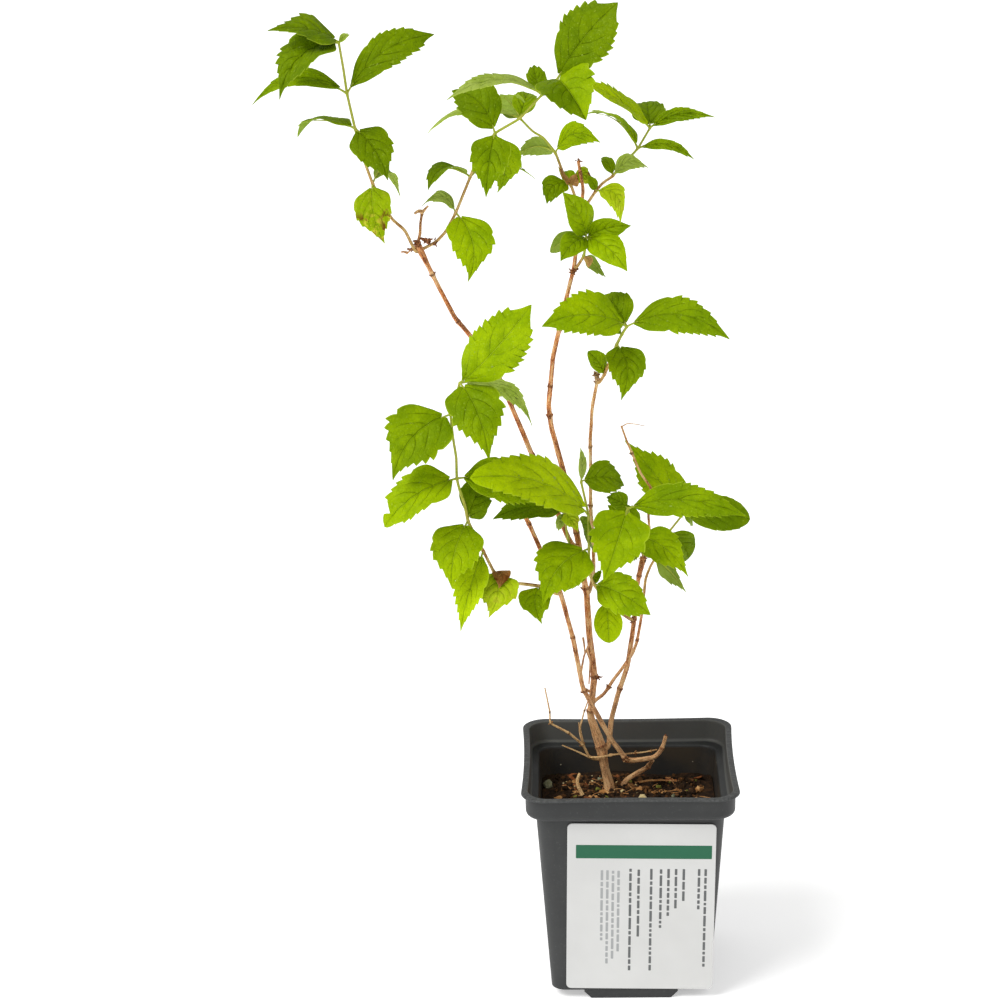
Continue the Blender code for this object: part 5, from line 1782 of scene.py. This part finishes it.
    def build(self, finishes: dict) -> None:
        """Make the fill and everything that lies on it.

        Args:
            finishes: Materials by name.
        """
        self.build_fill(finishes["earth"])
        for number, (name, kinds, count, low, high, flat) in enumerate(self.bits):
            self.scatter(name, [finishes[kind] for kind in kinds],
                         *self.blobs(count, low, high, flat, SEED + number))
        self.build_stones([finishes["stone"], finishes["grit"], finishes["chip"]])
        self.build_threads(finishes["thread"])


@dataclass
class Label:
    """Sticker on the front wall: a thin rounded sheet with a plain band and ruled lines as its print.

    The band is its centre and size. A rule is its place across, its top and its length, and the dashes are
    the shortest, the longest and the gap between them.
    """

    size: tuple = (61.2, 77.4)
    centre: tuple = (4.0, 43.4)
    turn: float = 0.9
    thick: float = 0.35
    corner: float = 2.2
    back_gap: float = 0.12
    print_lift: float = 0.03
    print_sink: float = 0.05
    corner_rows: int = 9
    row_step: float = 2.5
    band: tuple = (1.0, 25.8, 56.0, 6.2)
    rules: tuple = ((26.6, 18.0, 46.0), (23.9, 18.0, 18.8), (17.6, 18.0, 16.4), (14.4, 18.0, 19.0),
                    (11.3, 18.0, 22.0), (8.2, 17.8, 27.5), (4.2, 18.0, 48.0), (-1.0, 17.6, 32.0),
                    (-4.4, 18.0, 48.0))
    faint_rules: tuple = ((-9.3, 17.0, 38.0), (-11.6, 17.0, 43.0), (-13.9, 17.2, 45.0), (-16.2, 17.2, 33.0))
    rule_width: float = 1.05
    rule_corner: float = 0.2
    band_corner: float = 0.3
    dash: tuple = (1.2, 5.5, 0.75)

    @property
    def front(self) -> float:
        """Distance of the sheet's face from the wall."""
        return GAP + self.thick

    def print_on(self, batch: Batch, middle: tuple, size: tuple, corner: float) -> None:
        """Add a plate of print, which starts just inside the sheet and stands a little proud of it."""
        self.sheet(batch, middle, size, self.front - self.print_sink, self.front + self.print_lift, corner)

    def laid(self, across: Array, up: Array, offset: Array) -> Array:
        """Points of the sheet: its own two directions turned a little and laid on the sloping wall.

        Args:
            across: Distances to the right of the centre.
            up: Distances above the centre.
            offset: Distances in front of the wall.

        Returns:
            Places in millimetres.
        """
        cos, sin = math.cos(math.radians(self.turn)), math.sin(math.radians(self.turn))
        x = self.centre[0] + across * cos + up * sin
        z = self.centre[1] - across * sin + up * cos
        return joined(x, -wall_half(z) - offset, z)

    def sheet(self, batch: Batch, middle: tuple, size: tuple, back: float, front: float,
              corner: float) -> None:
        """Add a closed plate with round corners: each row's half width shrinks by a circle near the ends.

        Args:
            batch: The piece that takes it.
            middle: Centre on the label.
            size: Width and height.
            back: Distance of its back from the wall.
            front: Distance of its front from the wall.
            corner: Radius of the corners.
        """
        half = 0.5 * size[1]
        end = half - corner * (1.0 - np.sin(np.linspace(0.0, 0.5 * math.pi, self.corner_rows)))
        straight = np.linspace(corner - half, half - corner, max(int(size[1] / self.row_step), 1) + 2)[1:-1]
        up = np.concatenate((-end[::-1], straight, end))
        past = np.clip(np.abs(up) - (half - corner), 0.0, corner)
        wide = 0.5 * size[0] - corner + np.sqrt(np.maximum(corner ** 2 - past ** 2, 0.0))
        columns = max(int(size[0] / self.row_step), 1) + 2
        across = np.linspace(-1.0, 1.0, columns)[None, :] * wide[:, None]
        points = [self.laid(middle[0] + across, middle[1] + up[:, None], offset) for offset in (front, back)]
        batch.add(np.concatenate(points),
                  [(block, np.zeros((len(block), 4, 2)), 0) for block in plate_faces(*across.shape)])

    def ruled(self, name: str, rows: tuple, finish: Material) -> None:
        """Make upright ruled lines as rows of dashes of uneven length.

        Args:
            name: Name of the piece.
            rows: Place across, top and length of each line.
            finish: Its material.
        """
        dice = random.Random(SEED)
        batch = Batch(name)
        shortest, longest, gap = self.dash
        for across, top, length in rows:
            done = 0.0
            while length - done > shortest:
                dash = min(dice.uniform(shortest, longest), length - done)
                self.print_on(batch, (across, top - done - 0.5 * dash), (self.rule_width, dash),
                              self.rule_corner)
                done += dash + gap
        settle(batch.build([finish]), "label")

    def build(self, finishes: list) -> None:
        """Make the sheet, its band and its ruled lines.

        Args:
            finishes: Materials of the sheet, the band, the ruled lines and the faded lines.
        """
        paper, green, grey, faint = finishes
        sheet = Batch("label_sheet")
        self.sheet(sheet, (0.0, 0.0), self.size, self.back_gap, self.front, self.corner)
        settle(sheet.build([paper]), "label", "label")
        band = Batch("label_band")
        self.print_on(band, self.band[:2], self.band[2:], self.band_corner)
        settle(band.build([green]), "label")
        self.ruled("label_rules", self.rules, grey)
        self.ruled("label_faint_rules", self.faint_rules, faint)


@dataclass
class Studio:
    """Pale floor, soft lights and the camera at the photograph's angle."""

    place: tuple = (-22.87, -1246.48, 617.0)
    forward: tuple = (-0.02242654, 0.95029561, -0.31054034)
    right: tuple = (0.99970009, 0.01825962, -0.01631922)
    above: tuple = (0.00983773, 0.31081319, 0.95042011)
    lens: float = 115.2
    floor_half: float = 9000.0
    sky: float = 0.52
    sun: float = 1.85
    sun_spread: float = 30.0
    floor_glow: float = 0.42
    sun_from: tuple = (-0.6, -0.45, 0.85)

    def build(self) -> None:
        """Make the floor, the sky light, the soft sun and the camera."""
        scene = bpy.context.scene
        scene.view_settings.view_transform = "Standard"
        edges = self.floor_half * np.array(((-1, -1, 0), (1, -1, 0), (1, 1, 0), (-1, 1, 0)))
        floor = solid("floor", edges, [(0, 1, 2, 3)])
        graph = Graph("studio floor", Roughness=0.8, Base_Color=WHITE, Emission_Color=WHITE,
                      Emission_Strength=self.floor_glow)
        floor.data.materials.append(graph.material)
        world = bpy.data.worlds.new("studio")
        world.use_nodes = True
        sky = world.node_tree.nodes["Background"]
        sky.inputs[0].default_value = WHITE
        sky.inputs[1].default_value = self.sky
        scene.world = world
        light = bpy.data.lights.new("sun", "SUN")
        light.energy, light.angle = self.sun, math.radians(self.sun_spread)
        towards = unit(np.array(self.sun_from))
        side = unit(np.cross(UP, towards))
        shown("sun", light).matrix_world = aimed((0.0, 0.0, 0.0), side, np.cross(towards, side), towards)
        camera = bpy.data.cameras.new("camera")
        camera.lens, camera.sensor_width = self.lens, 36.0
        camera.clip_start, camera.clip_end = 0.05, 60.0
        scene.camera = shown("camera", camera)
        scene.camera.matrix_world = aimed(self.place, self.right, self.above, -np.array(self.forward))


def main() -> None:
    """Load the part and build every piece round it."""
    logging.basicConfig(level=logging.INFO, format="%(name)s %(message)s")
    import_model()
    grain = Grain(SEED)
    bark = {kind: finish.material() for kind, finish in BARKS.items()}
    twig = GREEN_TWIG.material()
    earth = {name: finish.material() for name, finish in EARTHS.items()}
    pot = Pot()
    pot.build(POT_PLASTIC.material())
    Soil(grain, pot).build(earth)
    Label().build([finish.material() for finish in PAPERS])
    stems = Stems(grain)
    stems.build(bark)
    stems.build_dead(bark[Bark.DRY])
    blades = [FOLIAGE[tone].material() for tone in TONE_ORDER] + [UNDERSIDE.material()]
    Foliage(stems.routes).build(blades, twig)
    Studio().build()


if __name__ == "__main__":
    main()
